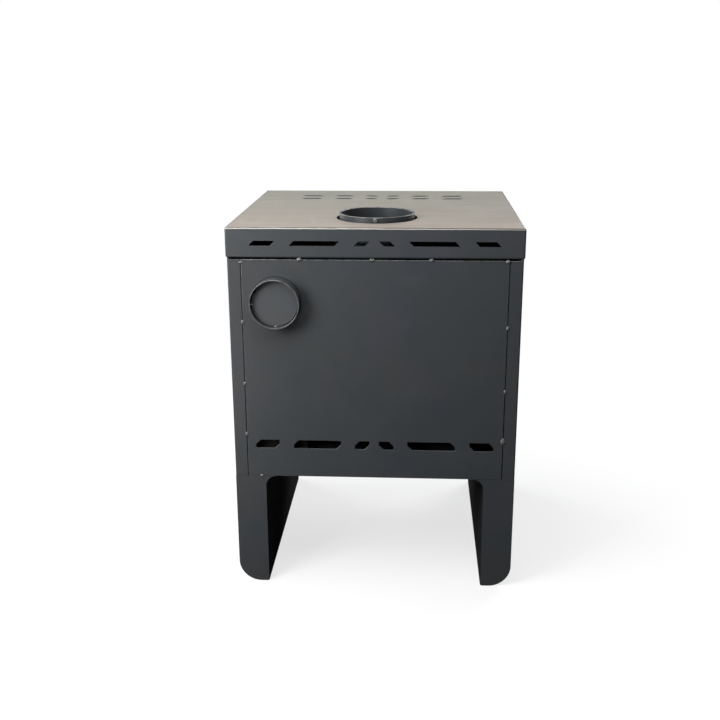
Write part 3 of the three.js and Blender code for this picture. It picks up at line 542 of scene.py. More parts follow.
@finish("Black Steel")
def black_steel(n, c):
    tones = (c.black, (0.09, 0.088, 0.088, 1))
    scale = (n.grain(700.0, 3.0), 0.00006)
    return metal(n, n.grain(70.0, 4.0, 0.6), tones, (0.4, 0.7), (0.36, 0.5), 0.5, scale)


@finish("Weld Metal")
def weld_metal(n, c):
    tones = (c.weld, (0.09, 0.094, 0.098, 1))
    spatter = n.grain(260.0, 4.0, 0.6)
    return metal(n, spatter, tones, (0.35, 0.65), (0.42, 0.6), 0.3, (spatter, 0.0003))


def painted():
    """The finishes of a painted sheet: its faces and its edges."""
    return [casing_paint(), casing_edge()]


# ---- Mesh helpers ----


def from_node(name):
    """A CAD node's mesh with its corners merged, its flat faces whole and its curves smooth."""
    bm = bmesh.new()
    bm.from_mesh(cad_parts[name].data)
    bmesh.ops.remove_doubles(bm, verts=bm.verts, dist=2e-6)
    bmesh.ops.dissolve_limit(bm, angle_limit=FLAT, verts=bm.verts, edges=bm.edges)
    for edge in bm.edges:
        edge.smooth = True
    for face in bm.faces:
        turns = [e.calc_face_angle(0.0) for e in face.edges]
        face.smooth = sum(FLAT * 2 < turn < SHARP for turn in turns) > 1
    return bm


def smooth_all(bm):
    for face in bm.faces:
        face.smooth = True


def sharp_edges(bm, least=SHARP):
    return [e for e in bm.edges if e.is_manifold and e.calc_face_angle() > least]


def soften(bm, radius, edges=None, segments=2, edge_finish=1):
    """Rounds edges, by default every sharp one, and gives the new faces their own finish."""
    made = bmesh.ops.bevel(
        bm,
        geom=sharp_edges(bm) if edges is None else edges,
        offset=radius,
        offset_type="OFFSET",
        affect="EDGES",
        segments=segments,
        profile=0.5,
        material=-1,
        clamp_overlap=True,
    )
    rounded = set(made["faces"])
    for face in rounded:
        face.material_index = edge_finish
        face.smooth = True
        for edge in face.edges:
            if not rounded.issuperset(edge.link_faces):
                edge.smooth = False
    return made


def turned(points, axis, centre, steps=None, closed=False):
    """A profile of (radius, place along the axis) points spun once round an axis."""
    steps = steps or sizes().turning_steps
    bm = bmesh.new()
    along = {"x": Vector((1, 0, 0)), "y": Vector((0, 1, 0)), "z": Vector((0, 0, 1))}[axis]
    out = Vector((0, 0, 1)) if axis == "x" else Vector((1, 0, 0))
    middle = Vector(centre)
    verts = [bm.verts.new(middle + out * r + along * a) for r, a in points]
    pairs = list(zip(verts, verts[1:]))
    if closed:
        pairs.append((verts[-1], verts[0]))
    edges = [bm.edges.new(pair) for pair in pairs]
    bmesh.ops.spin(
        bm,
        geom=verts + edges,
        cent=middle,
        axis=along,
        angle=FULL_TURN,
        steps=steps,
        use_merge=True,
        use_duplicate=False,
    )
    bmesh.ops.remove_doubles(bm, verts=bm.verts, dist=1e-6)
    bmesh.ops.recalc_face_normals(bm, faces=bm.faces)
    smooth_all(bm)
    return bm


def merged(*parts):
    """Several bmeshes as one. The first one is kept."""
    whole = parts[0]
    for part in parts[1:]:
        loose = bpy.data.meshes.new("part")
        part.to_mesh(loose)
        part.free()
        whole.from_mesh(loose)
        bpy.data.meshes.remove(loose)
    return whole


def place_piece(bm, name, body, finishes, nodes=(), crease=CREASE):
    """A finished mesh as a piece that rides on a body and stands for CAD nodes."""
    for edge in bm.edges:
        edge.smooth = edge.smooth and edge.calc_face_angle(0.0) < crease
    mesh = bpy.data.meshes.new(name)
    bm.to_mesh(mesh)
    bm.free()
    frozen = mesh.attributes.get("custom_normal")
    if frozen:
        mesh.attributes.remove(frozen)
    for material in finishes:
        mesh.materials.append(material)
    piece = bpy.data.objects.new(name, mesh)
    bpy.context.scene.collection.objects.link(piece)
    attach(piece, body)
    if nodes:
        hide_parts(*nodes)
    return piece


def place_turned(bm, node, body, finishes, crease=CREASE):
    """A turned mesh in place of a CAD node."""
    place_piece(bm, node + "_turned", body, finishes, [node], crease)


def place_plated(bm, node, body, crease=CREASE):
    place_turned(bm, node, body, [bright_steel()], crease)


def place_finished(bm, node, body, finishes):
    """A CAD node's reworked copy in its place."""
    place_piece(bm, node + "_finished", body, finishes, [node])


def spare_openings(bm, box, edge_finish=1):
    """Keeps the edge finish to a sheet's outline: cut openings take the plain finish."""
    low, high = box
    for face in bm.faces:
        if face.material_index != edge_finish:
            continue
        middle = face.calc_center_median()
        sides = sum(
            min(middle[i] - low[i], high[i] - middle[i]) < OUTLINE for i in range(3)
        )
        if sides < 2:
            face.material_index = 0


def sheet_piece(node, body, finishes, radius=None, segments=2, painted_highlight_top=False):
    """A CAD node's copy with its edges rounded. The top flag gives its upper face the pale edge
    finish as a painted highlight.
    """
    bm = from_node(node)
    soften(bm, radius or sizes().sheet_edge, segments=segments)
    spare_openings(bm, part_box(node))
    # The upper face's pale edge finish is a painted highlight.
    if painted_highlight_top:
        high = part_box(node)[1].z
        for face in bm.faces:
            if face.normal.z > 0.5 and face.calc_center_median().z > high - 0.001:
                face.material_index = 1
    place_finished(bm, node, body, finishes)


def painted_sheet(node, body, radius=None, segments=2, painted_highlight_top=False):
    sheet_piece(node, body, painted(), radius, segments, painted_highlight_top)


def plated_sheet(node, body, radius):
    sheet_piece(node, body, [bright_steel()] * 2, radius)


def keep_node(node, material):
    """A CAD node that stays as it is and takes a finish."""
    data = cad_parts[node]
    data.data.materials.clear()
    data.data.materials.append(material)


def sweep(points, normals, section, closed=False, turn=0.0):
    """A section carried along a path by extruding its edges from point to point.

    Normals are the section's first direction at each point, and turn is its twist from
    one point to the next.
    """
    bm = bmesh.new()
    count = len(points)

    def stand(i):
        here = points[i % count]
        if closed:
            ahead = points[(i + 1) % count] - points[(i - 1) % count]
        else:
            ahead = points[min(i + 1, count - 1)] - points[max(i - 1, 0)]
        ahead.normalize()
        across = normals[i % count]
        up = ahead.cross(across).normalized()
        across = up.cross(ahead).normalized()
        stood = Matrix((across, up, ahead)).transposed().to_4x4()
        return Matrix.Translation(here) @ stood @ Matrix.Rotation(turn * i, 4, "Z")

    ring = [bm.verts.new(Vector((a, b, 0))) for a, b in section]
    edges = [bm.edges.new((ring[i], ring[(i + 1) % len(ring)])) for i in range(len(ring))]
    was = stand(0)
    bmesh.ops.transform(bm, matrix=was, verts=ring)
    if not closed:
        bm.faces.new(reversed(ring))
    for i in range(1, count + (1 if closed else 0)):
        now = stand(i)
        made = bmesh.ops.extrude_edge_only(bm, edges=edges)["geom"]
        ring = [g for g in made if isinstance(g, bmesh.types.BMVert)]
        ends = set(ring)
        edges = [
            g for g in made
            if isinstance(g, bmesh.types.BMEdge) and g.verts[0] in ends and g.verts[1] in ends
        ]
        bmesh.ops.transform(bm, matrix=now @ was.inverted(), verts=ring)
        was = now
    if closed:
        bmesh.ops.remove_doubles(bm, verts=bm.verts, dist=2e-5)
    else:
        bmesh.ops.contextual_create(bm, geom=edges)
    bmesh.ops.recalc_face_normals(bm, faces=bm.faces)
    smooth_all(bm)
    return bm


def hex_socket(bm, middle, radius):
    """Turns the round socket of that radius in a screw's head into a six-sided one."""
    for vert in bm.verts:
        a, b = vert.co.x - middle.x, vert.co.z - middle.z
        if abs(math.hypot(a, b) - radius) > ON:
            continue
        angle = math.atan2(b, a) % (FULL_TURN / 6) - FULL_TURN / 12
        flat = radius * math.cos(FULL_TURN / 12) / math.cos(angle)
        vert.co.x = middle.x + a * flat / radius
        vert.co.z = middle.z + b * flat / radius


def screw(node, facing, head, socket, shank):
    """A socket screw along Y on the CAD node's place. Facing is +1 or -1 for its head's side."""
    low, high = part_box(node)
    centre = (low + high) / 2
    centre.y = 0
    top = high.y if facing > 0 else low.y
    tail = low.y if facing > 0 else high.y
    head_radius, head_height = head
    chamfer = head_height * 0.3
    points = [
        (0, top - facing * head_height * 0.62),
        (socket, top - facing * head_height * 0.62),
        (socket, top),
        (head_radius - chamfer, top),
        (head_radius - chamfer * 0.3, top - facing * chamfer * 0.4),
        (head_radius, top - facing * chamfer),
        (head_radius, top - facing * head_height),
        (shank, top - facing * head_height),
        (shank, tail),
        (0, tail),
    ]
    bm = turned(points, "y", centre, steps=48)
    hex_socket(bm, centre, socket)
    return bm


def rounded_path(low, high, radius, step):
    """Points and outward normals round a rectangle with rounded corners, in X and Z."""
    corners = [
        (high[0] - radius, high[1] - radius, 0.0),
        (low[0] + radius, high[1] - radius, 0.25),
        (low[0] + radius, low[1] + radius, 0.5),
        (high[0] - radius, low[1] + radius, 0.75),
    ]
    points, normals = [], []
    turns = 8
    for k, (x, z, start) in enumerate(corners):
        for i in range(turns + 1):
            angle = (start + 0.25 * i / turns) * FULL_TURN
            out = Vector((math.cos(angle), 0, math.sin(angle)))
            points.append(Vector((x, 0, z)) + out * radius)
            normals.append(out)
        following = corners[(k + 1) % 4]
        angle = (start + 0.25) * FULL_TURN
        out = Vector((math.cos(angle), 0, math.sin(angle)))
        begin = points[-1].copy()
        end = Vector((following[0], 0, following[1])) + out * radius
        count = max(2, round((end - begin).length / step))
        for i in range(1, count):
            points.append(begin.lerp(end, i / count))
            normals.append(out)
    return points, normals


def spare_below(bm, height, edge_finish=1):
    """Keeps the edge finish above a height."""
    for face in bm.faces:
        if face.material_index == edge_finish and face.calc_center_median().z < height:
            face.material_index = 0


# ---- Stage ----

CAMERA_PLACE = Vector((-0.0663, 1.7709, 0.8668))
CAMERA_AHEAD = Vector((0.0557, -0.9556, -0.2895))
CAMERA_RIGHT = Vector((-0.9983, -0.0582, 0.0))
CAMERA_ROLL = -0.004
CAMERA_LENS = 49.54
CAMERA_SENSOR = 36.0


def soft_light(name, place, aim, width, height, power, tone=(1, 1, 1)):
    data = bpy.data.lights.new(name, "AREA")
    data.shape = "RECTANGLE"
    data.size, data.size_y = width, height
    data.energy = power
    data.color = tone
    lamp = bpy.data.objects.new(name, data)
    bpy.context.scene.collection.objects.link(lamp)
    lamp.location = place
    lamp.rotation_euler = (Vector(aim) - Vector(place)).to_track_quat("-Z", "Y").to_euler()
    lamp.visible_camera = False


class STOVE_OT_stage(bpy.types.Operator):
    """Sets the camera, the pale floor, the surroundings and the soft lights"""

    bl_idname = "stove.stage"
    bl_label = "Stage"

    def execute(self, context):
        scene = context.scene
        data = bpy.data.cameras.new("Camera")
        data.lens = CAMERA_LENS
        data.sensor_width = CAMERA_SENSOR
        data.clip_start = 0.01
        camera = bpy.data.objects.new("Camera", data)
        scene.collection.objects.link(camera)
        ahead = CAMERA_AHEAD.normalized()
        right = CAMERA_RIGHT.normalized()
        up = right.cross(ahead)
        turn, lift = math.cos(CAMERA_ROLL), math.sin(CAMERA_ROLL)
        across = turn * right + lift * up
        upright = turn * up - lift * right
        camera.matrix_world = Matrix.Translation(CAMERA_PLACE) @ Matrix(
            [(across[i], upright[i], -ahead[i]) for i in range(3)]
        ).to_4x4()
        scene.camera = camera
        scene.view_settings.view_transform = "Standard"
        self.make_floor(context)
        self.make_world(context)
        soft_light("Key", (0.75, 0.9, 0.85), (0.1, 0.2, 0.46), 0.5, 0.5, 11.5, (1, 0.99, 0.97))
        soft_light("Rear low", (0.55, 0.95, 0.03), (0.2, 0.24, 0.05), 0.3, 0.3, 1.2)
        soft_light("Rear top", (0.05, 0.75, 1.25), (0, 0.24, 0.66), 0.8, 0.4, 5.5)
        soft_light("Overhead", (0.7, 0.1, 2.1), (0, 0, 0.5), 1.4, 1.4, 25)
        soft_light("Front left", (-1.5, -2.0, 1.9), (0, 0, 0.4), 1.4, 1.4, 52)
        soft_light("Front right", (1.9, -1.5, 1.3), (0, 0, 0.4), 0.9, 1.6, 26, (0.95, 0.98, 1))
        return {"FINISHED"}

    def make_floor(self, context):
        bm = bmesh.new()
        bmesh.ops.create_circle(bm, cap_ends=True, radius=9.0, segments=96)
        mesh = bpy.data.meshes.new("floor")
        bm.to_mesh(mesh)
        bm.free()
        floor = bpy.data.objects.new("floor", mesh)
        context.scene.collection.objects.link(floor)
        material = bpy.data.materials.new("Studio Floor")
        material.use_nodes = True
        n = Nodes(material.node_tree)
        n.tree.nodes.clear()
        seen = n.put("ShaderNodeLightPath").outputs["Is Camera Ray"]
        pale = n.put("ShaderNodeBsdfDiffuse", {"Color": (0.95, 0.95, 0.95, 1)})
        glow = n.put("ShaderNodeEmission", {"Color": (1, 1, 1, 1), "Strength": 1.0})
        reach = n.put("ShaderNodeVectorMath", {0: n.place()}, operation="LENGTH"
        ).outputs["Value"]
        share = n.spread(reach, 0.5, 1.3, 0.7, 1.0)
        shown = n.put("ShaderNodeMixShader", {0: share, 1: pale.outputs[0], 2: glow.outputs[0]}
        )
        grey = n.put("ShaderNodeBsdfDiffuse", {"Color": (0.07, 0.07, 0.075, 1)})
        mix = n.put("ShaderNodeMixShader", {0: seen, 1: grey.outputs[0], 2: shown.outputs[0]})
        n.put("ShaderNodeOutputMaterial", {0: mix.outputs[0]})
        mesh.materials.append(material)

    def make_world(self, context):
        world = bpy.data.worlds.new("Studio")
        world.use_nodes = True
        n = Nodes(world.node_tree)
        n.tree.nodes.clear()
        seen = n.put("ShaderNodeLightPath").outputs["Is Camera Ray"]
        white = n.put("ShaderNodeBackground", {"Color": (1, 1, 1, 1), "Strength": 1.0})
        place = n.put("ShaderNodeTexCoord").outputs["Generated"]
        split = n.put("ShaderNodeSeparateXYZ", {0: place})
        rise = n.spread(split.outputs["Z"], -0.1, 0.8, 0.3, 0.62)
        across = n.spread(split.outputs["X"], -0.6, 0.8, 0.12, 1.2)
        along = n.spread(split.outputs["Y"], -0.1, 0.9, 1.0, 0.12)
        strength = n.times(n.times(rise, across), along)
        room = n.put("ShaderNodeBackground", {"Color": (0.94, 0.97, 1, 1), "Strength": strength}
        )
        mix = n.put("ShaderNodeMixShader", {0: seen, 1: room.outputs[0], 2: white.outputs[0]})
        n.put("ShaderNodeOutputWorld", {0: mix.outputs[0]})
        context.scene.world = world


# ---- Pieces ----


class STOVE_OT_casing(bpy.types.Operator):
    """Makes the folded top tray, rear cover, side panels, front plate and base"""

    bl_idname = "stove.casing"
    bl_label = "Casing"

    def execute(self, context):
        self.make_tray()
        # The rear cover's upper face takes the pale edge finish as a painted highlight under the
        # tray's skirt.
        painted_sheet("rear_cover", "stove", sizes().plate_edge, painted_highlight_top=True)
        painted_sheet("front_plate", "stove", sizes().plate_edge)
        painted_sheet("base_plate", "stove")
        for side in ("left", "right"):
            self.make_side(side + "_side_panel")
        return {"FINISHED"}

    def make_tray(self):
        low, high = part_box("top_tray")
        bm = from_node("top_tray")
        for face in bm.faces:
            upper = face.normal.z > 0.9 and face.calc_center_median().z > high.z - 0.001
            face.material_index = 0 if upper else 1

        def outside(vert):
            on_x = abs(abs(vert.co.x) - high.x) < ON
            on_y = min(abs(vert.co.y - low.y), abs(vert.co.y - high.y)) < ON
            return on_x, on_y

        folds = []
        for edge in sharp_edges(bm):
            ends = [outside(v) for v in edge.verts]
            at_top = all(abs(v.co.z - high.z) < ON for v in edge.verts)
            rim = at_top and (all(e[0] for e in ends) or all(e[1] for e in ends))
            corner = all(e[0] and e[1] for e in ends)
            if rim or corner:
                folds.append(edge)
        # The folds round the rim take the fold's painted dark line and painted highlight.
        soften(bm, sizes().tray_bend, folds, segments=6, edge_finish=2)
        for face in bm.faces:
            if face.material_index == 2 and face.calc_center_median().z < high.z - FOLD_DEPTH:
                face.material_index = 1
        foot = [
            e for e in sharp_edges(bm) if all(abs(v.co.z - low.z) < ON for v in e.verts)
        ]
        soften(bm, sizes().sheet_edge, foot, edge_finish=3)
        finishes = [top_plate_paint_and_reflection(), casing_paint(), tray_fold_painted_reflection(), casing_edge()]
        place_finished(bm, "top_tray", "stove", finishes)

    def make_side(self, node):
        low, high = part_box(node)
        outer = high.x if high.x > 0 else low.x
        bm = from_node(node)
        fold = [
            e for e in sharp_edges(bm)
            if all(abs(v.co.x - outer) < ON and abs(v.co.y - high.y) < ON for v in e.verts)
        ]
        soften(bm, sizes().panel_bend, fold, segments=5, edge_finish=0)
        soften(bm, sizes().sheet_edge)
        seam = min(abs(low.x), abs(high.x))
        # Faces along the rear seam take the near black steel as painted shade in the gap.
        for face in bm.faces:
            middle = face.calc_center_median()
            if abs(middle.x) < seam + 0.001 and middle.y > high.y - 0.004:
                face.material_index = 2
        place_finished(bm, node, "stove", [*painted(), painted_shade_steel()])


class STOVE_OT_legs(bpy.types.Operator):
    """Makes the two full-depth legs and their bolts"""

    bl_idname = "stove.legs"
    bl_label = "Legs"

    def execute(self, context):
        for node in ("left_leg", "right_leg"):
            low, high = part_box(node)
            bm = from_node(node)
            # Faces turned towards the middle take the near black steel as painted shade.
            for face in bm.faces:
                if face.normal.x * (low.x + high.x) < -0.2:
                    face.material_index = 2
            soften(bm, 0.0006)
            place_finished(bm, node, "stove", [*painted(), painted_shade_steel()])
        for number in range(1, 5):
            plated_sheet(f"leg_bolt_{number}", "stove", 0.0005)
        return {"FINISHED"}


# Tack welds on the rear: X and Z of the middle, length along the seam, and the seam's run.
TACKS = (
    (212, 562, 7.0, "x"),
    (118, 567.3, 8.2, "x"),
    (3, 567.2, 7.6, "x"),
    (-90, 567.3, 8.4, "x"),
    (-209, 566, 7.4, "x"),
    (212, 464, 7.6, "z"),
    (212, 360, 6.6, "z"),
    (212, 272, 7.0, "z"),
    (-212, 458, 6.8, "z"),
    (-212, 352, 6.4, "z"),
    (-212, 266, 10.5, "z"),
    (189, 198, 6.0, "x"),
)
TACK_SEED = 7


class STOVE_OT_welds(bpy.types.Operator):
    """Lays the tack welds along the rear cover's seams and inside the spigot"""

    bl_idname = "stove.welds"
    bl_label = "Tack welds"

    def execute(self, context):
        draw = random.Random(TACK_SEED)
        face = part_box("rear_cover")[1].y
        spigot_low, spigot_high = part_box("air_spigot")
        disc_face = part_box("spigot_blanking_plate")[1].y
        middle = (spigot_low + spigot_high) / 2
        radius = (spigot_high.x - spigot_low.x) / 2
        blobs = []
        for x, z, size, run in TACKS:
            rise = 0.0026 if z > 565 else 0.0017
            blobs.append((Vector((x * MM, face, z * MM)), size * MM / 2, rise, run))
        inside = radius - 0.0026
        for x, z in ((inside, -0.002), (-0.001, -inside)):
            spot = Vector((middle.x + x, disc_face, middle.z + z))
            blobs.append((spot, 0.0026, 0.0022, "x"))
        whole = bmesh.new()
        for spot, half, rise, run in blobs:
            made = bmesh.ops.create_icosphere(whole, subdivisions=4, radius=1.0)["verts"]
            shift = Vector((draw.random(), draw.random(), draw.random())) * 9
            for vert in made:
                ripple = 1 + 0.22 * noise.noise(vert.co * 1.6 + shift)
                ripple += 0.07 * math.sin(9 * vert.co.x + shift.x)
                vert.co *= ripple
            across = half * draw.uniform(0.6, 0.78)
            wide, tall = (half, across) if run == "x" else (across, half)
            bmesh.ops.scale(whole, vec=(wide, rise, tall), verts=made)
            bmesh.ops.translate(whole, vec=spot, verts=made)
        smooth_all(whole)
        place_piece(whole, "tack_welds", "stove", [weld_metal()])
        return {"FINISHED"}


class STOVE_OT_flue(bpy.types.Operator):
    """Turns the flue collar and its fixing screw"""

    bl_idname = "stove.flue"
    bl_label = "Flue collar"

    def execute(self, context):
        low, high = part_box("flue_collar")
        centre = ((low.x + high.x) / 2, (low.y + high.y) / 2, 0)
        flange = (high.x - low.x) / 2
        outer, inner = 0.062, 0.059
        thick = 0.004
        points = [
            (inner, low.z),
            (flange, low.z),
            (flange, low.z + thick),
            (outer + 0.002, low.z + thick),
            (outer, low.z + thick + 0.002),
            (outer, high.z),
            (inner, high.z),
        ]
        bm = turned(points, "z", centre, steps=128, closed=True)
        soften(bm, 0.0007, segments=3)
        spare_below(bm, high.z - 0.002)
        # The collar's paint is a darker copy of the casing's paint, as painted shade; its lower
        # gloss is its own.
        painted_shade_collar = [casing_paint("Collar Paint With Painted Shade", 0.75, 0.3), casing_edge()]
        place_turned(bm, "flue_collar", "stove", painted_shade_collar)
        bolt = screw("collar_screw", 1, (0.0034, 0.002), 0.0017, 0.002)
        place_turned(bolt, "collar_screw", "stove", [weld_metal()])
        return {"FINISHED"}


class STOVE_OT_spigot(bpy.types.Operator):
    """Turns the air spigot and the disc that blanks it"""

    bl_idname = "stove.spigot"
    bl_label = "Air spigot"

    def execute(self, context):
        low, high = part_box("air_spigot")
        middle = (low + high) / 2
        centre = (middle.x, 0, middle.z)
        outer = (high.x - low.x) / 2
        inner = outer - 0.002
        points = [(inner, low.y), (outer, low.y), (outer, high.y), (inner, high.y)]
        tube = turned(points, "y", centre, steps=128, closed=True)
        soften(tube, 0.0006, segments=3)
        place_turned(tube, "air_spigot", "stove", painted())
        low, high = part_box("spigot_blanking_plate")
        radius = (high.x - low.x) / 2
        points = [(0, low.y), (radius, low.y), (radius, high.y), (0, high.y)]
        disc = turned(points, "y", centre, steps=128)
        soften(disc, 0.0005)
        # The disc's paint is a paler copy of the casing's paint, as painted light.
        pale = [casing_paint("Disc Paint With Painted Light", 1.3), casing_edge()]
        place_piece(
            disc, "spigot_blank_turned", "stove", pale,
            ["spigot_blanking_plate"],
        )
        return {"FINISHED"}


class STOVE_OT_firebox(bpy.types.Operator):
    """Finishes the firebox, its air duct, grate, fire boards, baffle and log guard"""

    bl_idname = "stove.firebox"
    bl_label = "Firebox"

    def execute(self, context):
        for node in ("firebox_floor", "airwash_deflector", "catch_plate"):
            keep_node(node, firebox_steel())
        # The firebox walls, its top plate and the air duct, seen through the vents, take the near
        # black steel as painted shade.
        for name in ("left_wall", "right_wall", "back_wall", "top_plate"):
            keep_node("firebox_" + name, painted_shade_steel())
        keep_node("air_duct", painted_shade_steel())
        board = [vermiculite()] * 2
        for node in ("left_brick", "right_brick", "back_brick", "baffle_plate"):
            sheet_piece(node, "stove", board, sizes().brick_edge, 3)
        sheet_piece("grate", "stove", [cast_iron()] * 2, 0.0014, 3)
        steel = [firebox_steel()] * 2
        sheet_piece("log_guard", "stove", steel, sizes().plate_edge)
        return {"FINISHED"}


class STOVE_OT_door(bpy.types.Operator):
    """Makes the door frame with its glass, gasket, rope seal, clips and screws"""

    bl_idname = "stove.door"
    bl_label = "Door"

    def execute(self, context):
        painted_sheet("door_frame", "door", 0.0008, 3)
        sheet_piece("door_glass", "door", [stove_glass()] * 2, 0.0006)
        sheet_piece("glass_gasket", "door", [glass_rope()] * 2, 0.0007)
        for number in range(1, 5):
            plated_sheet(f"glass_clip_{number}", "door", 0.0003)
            node = f"clip_screw_{number}"
            bolt = screw(node, 1, (0.0035, 0.0025), 0.0018, 0.002)
            place_plated(bolt, node, "door")
        self.make_rope()
        return {"FINISHED"}

    def make_rope(self):
        low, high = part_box("door_rope_seal")
        radius = (high.y - low.y) / 2
        middle = (high.y + low.y) / 2
        points, normals = rounded_path(
            (low.x + radius, low.z + radius), (high.x - radius, high.z - radius), 0.008, 0.004
        )
        for point in points:
            point.y = middle
        lobes, per_lobe, lay = 6, 5, 0.042
        sides = lobes * per_lobe
        section = []
        for i in range(sides):
            angle = FULL_TURN * i / sides
            out = radius - sizes().rope_lobe * (0.5 - 0.5 * math.cos(lobes * angle))
            section.append((out * math.cos(angle), out * math.sin(angle)))
        run = sum((points[i] - points[i - 1]).length for i in range(len(points)))
        twists = round(run / lay * lobes)
        turn = twists * FULL_TURN / lobes / len(points)
        bm = sweep(points, normals, section, closed=True, turn=turn)
        place_piece(
            bm, "door_rope_braid", "door", [glass_rope()], ["door_rope_seal"],
            crease=ROPE_CREASE,
        )


class STOVE_OT_hinges(bpy.types.Operator):
    """Makes the hinge brackets, pins and knuckles"""

    bl_idname = "stove.hinges"
    bl_label = "Hinges"

    def execute(self, context):
        for end in ("lower", "upper"):
            painted_sheet(end + "_hinge_bracket", "stove", 0.0006)
            painted_sheet(end + "_hinge_knuckle", "door", 0.0006)
            node = end + "_hinge_pin"
            low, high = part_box(node)
            middle = (low + high) / 2
            points = [
                (0, low.z),
                (0.0042, low.z),
                (0.005, low.z + 0.0008),
                (0.005, low.z + 0.003),
                (0.003, low.z + 0.003),
                (0.003, high.z - 0.0015),
                (0.0024, high.z - 0.0005),
                (0.0014, high.z),
                (0, high.z),
            ]
            pin = turned(points, "z", (middle.x, middle.y, 0), steps=48)
            place_plated(pin, node, "stove")
        return {"FINISHED"}


# One rib of the grip: share of its pitch, and depth below the rib's top.
GRIP_RIB = ((0.0, 0.0014), (0.14, 0.0003), (0.5, 0), (0.86, 0.0003), (1.0, 0.0014))
# The lever's bends, as the share of its standoff and the drop below the spindle.
LEVER_BENDS = ((0, 8), (0, 16), (0.25, 27), (0.8, 38), (1, 47), (1, 55), (1, 90), (1, 131.6))


class STOVE_OT_handle(bpy.types.Operator):
    """Makes the door handle: spindle, lever, grip, latch tongue and nut"""

    bl_idname = "stove.handle"
    bl_label = "Handle and latch"

    def execute(self, context):
        plated_sheet("latch_tongue", "handle", 0.0006)
        plated_sheet("latch_nut", "handle", 0.0006)
        self.make_spindle()
        self.make_lever()
        self.make_grip()
        return {"FINISHED"}

    def make_spindle(self):
        low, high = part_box("handle_spindle")
        middle = (low + high) / 2
        thread_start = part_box("latch_tongue")[0].y - 0.0003
        points = [(0, low.y), (0.006, low.y), (0.006, thread_start), (0.004, thread_start)]
        pitch = 0.00125
        y = thread_start
        while y + pitch < high.y - 0.0005:
            points += [(0.0036, y + pitch * 0.5), (0.004, y + pitch)]
            y += pitch
        points += [(0.0034, high.y), (0, high.y)]
        bm = turned(points, "y", (middle.x, 0, middle.z), steps=48)
        place_plated(bm, "handle_spindle", "handle")

    def make_lever(self):
        low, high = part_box("handle_lever")
        spindle_low, spindle_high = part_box("handle_spindle")
        axis = (spindle_low + spindle_high) / 2
        hub_back = high.y
        hub_front = hub_back - 0.012
        hub_middle = (hub_front + hub_back) / 2
        hub_radius = (high.x - low.x) / 2
        points = [
            (0, hub_front),
            (hub_radius - 0.003, hub_front),
            (hub_radius - 0.0008, hub_front + 0.0009),
            (hub_radius, hub_front + 0.003),
            (hub_radius, hub_back - 0.0006),
            (hub_radius - 0.0006, hub_back),
            (0, hub_back),
        ]
        hub = turned(points, "y", (axis.x, 0, axis.z))
        standoff = 0.03
        bends = [
            Vector((axis.x, hub_middle - out * standoff, axis.z - drop * MM))
            for out, drop in LEVER_BENDS
        ]
        path = []
        for i in range(len(bends) - 1):
            a, b = bends[max(i - 1, 0)], bends[i]
            c, d = bends[i + 1], bends[min(i + 2, len(bends) - 1)]
            for k in range(8):
                t = k / 8
                path.append(
                    b + 0.5 * t * ((c - a) + t * ((2 * a - 5 * b + 4 * c - d)
                                                  + t * (3 * (b - c) + d - a)))
                )
        path.append(bends[-1])
        radius = 0.005
        section = [
            (radius * math.cos(FULL_TURN * i / 32), radius * math.sin(FULL_TURN * i / 32))
            for i in range(32)
        ]
        rod = sweep(path, [Vector((1, 0, 0))] * len(path), section)
        place_piece(
            merged(hub, rod), "handle_lever_bent", "handle", [black_steel()],
            ["handle_lever"],
        )

    def make_grip(self):
        low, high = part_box("handle_grip")
        middle = (low + high) / 2
        bulge = (high.x - low.x) / 2
        bore = 0.0053
        points = [(0, low.z), (bulge - 0.005, low.z), (bulge - 0.0032, low.z + 0.0008)]
        span = high.z - low.z
        ribs = 11
        for i in range(ribs):
            start = low.z + span * (0.06 + 0.88 * i / ribs)
            step = span * 0.88 / ribs
            for share, dip in GRIP_RIB:
                z = start + share * step
                curve = 4 * ((z - middle.z) / span) ** 2
                points.append((bulge - 0.0022 * curve - dip, z))
        points += [(bulge - 0.0032, high.z - 0.0008), (bulge - 0.0045, high.z), (bore, high.z)]
        points += [(bore, low.z + 0.003), (0, low.z + 0.003)]
        bm = turned(points, "z", (middle.x, middle.y, 0))
        place_plated(bm, "handle_grip", "handle", ROUND_CREASE)


# A knob's profile: radius and distance in front of its seat, in millimetres.
KNOB = (
    (0, 0), (5.6, 0), (6, 0.4), (6, 1.6), (5, 2.4),
    (4.1, 4), (3.9, 8), (4.3, 11), (6.6, 13), (9.2, 14.6),
    (10.6, 16.4), (11, 18.3), (10.8, 20.2), (9.9, 21.8), (8.3, 22.8),
    (6.2, 23.2), (5.8, 22.8), (5.2, 22.7), (2.5, 23.1), (0, 23.2),
)


def make_knob(node, body):
    low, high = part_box(node)
    middle = (low + high) / 2
    points = [(radius * MM, high.y - out * MM) for radius, out in KNOB]
    bm = turned(points, "y", (middle.x, 0, middle.z))
    place_plated(bm, node, body, ROUND_CREASE)


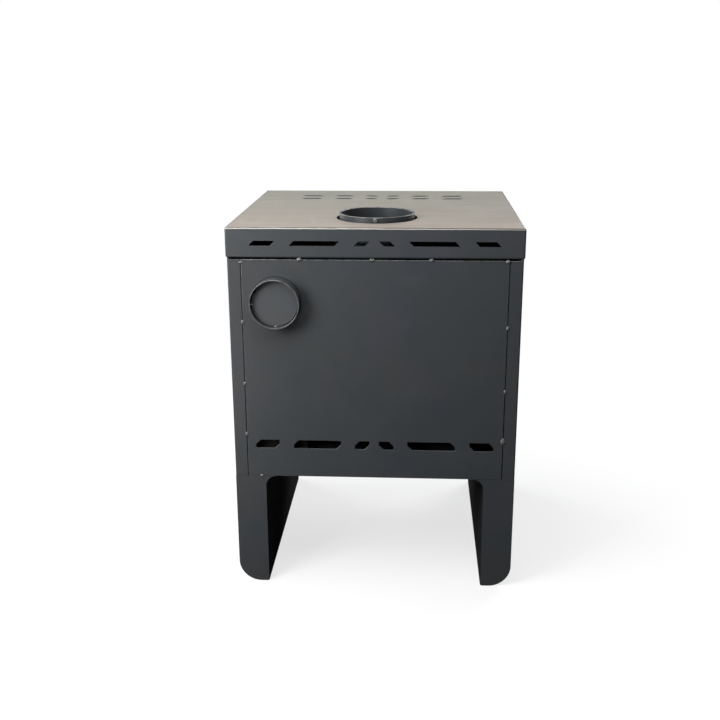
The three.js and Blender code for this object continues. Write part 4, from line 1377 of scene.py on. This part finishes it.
class STOVE_OT_air_control(bpy.types.Operator):
    """Makes the air slide, its knob and the two shoulder screws that guide it"""

    bl_idname = "stove.air_control"
    bl_label = "Air control"

    def execute(self, context):
        painted_sheet("air_slide", "air_slide", 0.0005)
        make_knob("air_slide_knob", "air_slide")
        for number in (1, 2):
            node = f"slide_screw_{number}"
            bolt = screw(node, -1, (0.0065, 0.003), 0.003, 0.003)
            place_plated(bolt, node, "stove")
        return {"FINISHED"}


class STOVE_OT_ash_pan(bpy.types.Operator):
    """Makes the ash pan with its front and knob"""

    bl_idname = "stove.ash_pan"
    bl_label = "Ash pan"

    def execute(self, context):
        sheet_piece("ash_pan", "ash_pan", [firebox_steel()] * 2, 0.0003)
        painted_sheet("ash_pan_front", "ash_pan", 0.0008, 3)
        make_knob("ash_pan_knob", "ash_pan")
        return {"FINISHED"}


class STOVE_PT_panel(bpy.types.Panel):
    """Lists the stove's pieces, sizes and colours"""

    bl_idname = "STOVE_PT_panel"
    bl_label = "Wood burning stove"
    bl_space_type = "VIEW_3D"
    bl_region_type = "UI"
    bl_category = "Stove"

    def draw(self, context):
        layout = self.layout
        for operator in OPERATORS:
            layout.operator(operator.bl_idname)
        for values in (context.scene.stove_sizes, context.scene.stove_colours):
            column = layout.column()
            for name in values.__annotations__:
                column.prop(values, name)


OPERATORS = (
    STOVE_OT_stage,
    STOVE_OT_casing,
    STOVE_OT_legs,
    STOVE_OT_welds,
    STOVE_OT_flue,
    STOVE_OT_spigot,
    STOVE_OT_firebox,
    STOVE_OT_door,
    STOVE_OT_hinges,
    STOVE_OT_handle,
    STOVE_OT_air_control,
    STOVE_OT_ash_pan,
)
CLASSES = (StoveColours, StoveSizes) + OPERATORS + (STOVE_PT_panel,)


def register():
    for cls in CLASSES:
        bpy.utils.register_class(cls)
    bpy.types.Scene.stove_colours = PointerProperty(type=StoveColours)
    bpy.types.Scene.stove_sizes = PointerProperty(type=StoveSizes)


def unregister():
    del bpy.types.Scene.stove_sizes
    del bpy.types.Scene.stove_colours
    for cls in reversed(CLASSES):
        bpy.utils.unregister_class(cls)


def main():
    register()
    for operator in OPERATORS:
        name = operator.bl_idname.split(".")[1]
        getattr(bpy.ops.stove, name)()


if __name__ == "__main__":
    main()
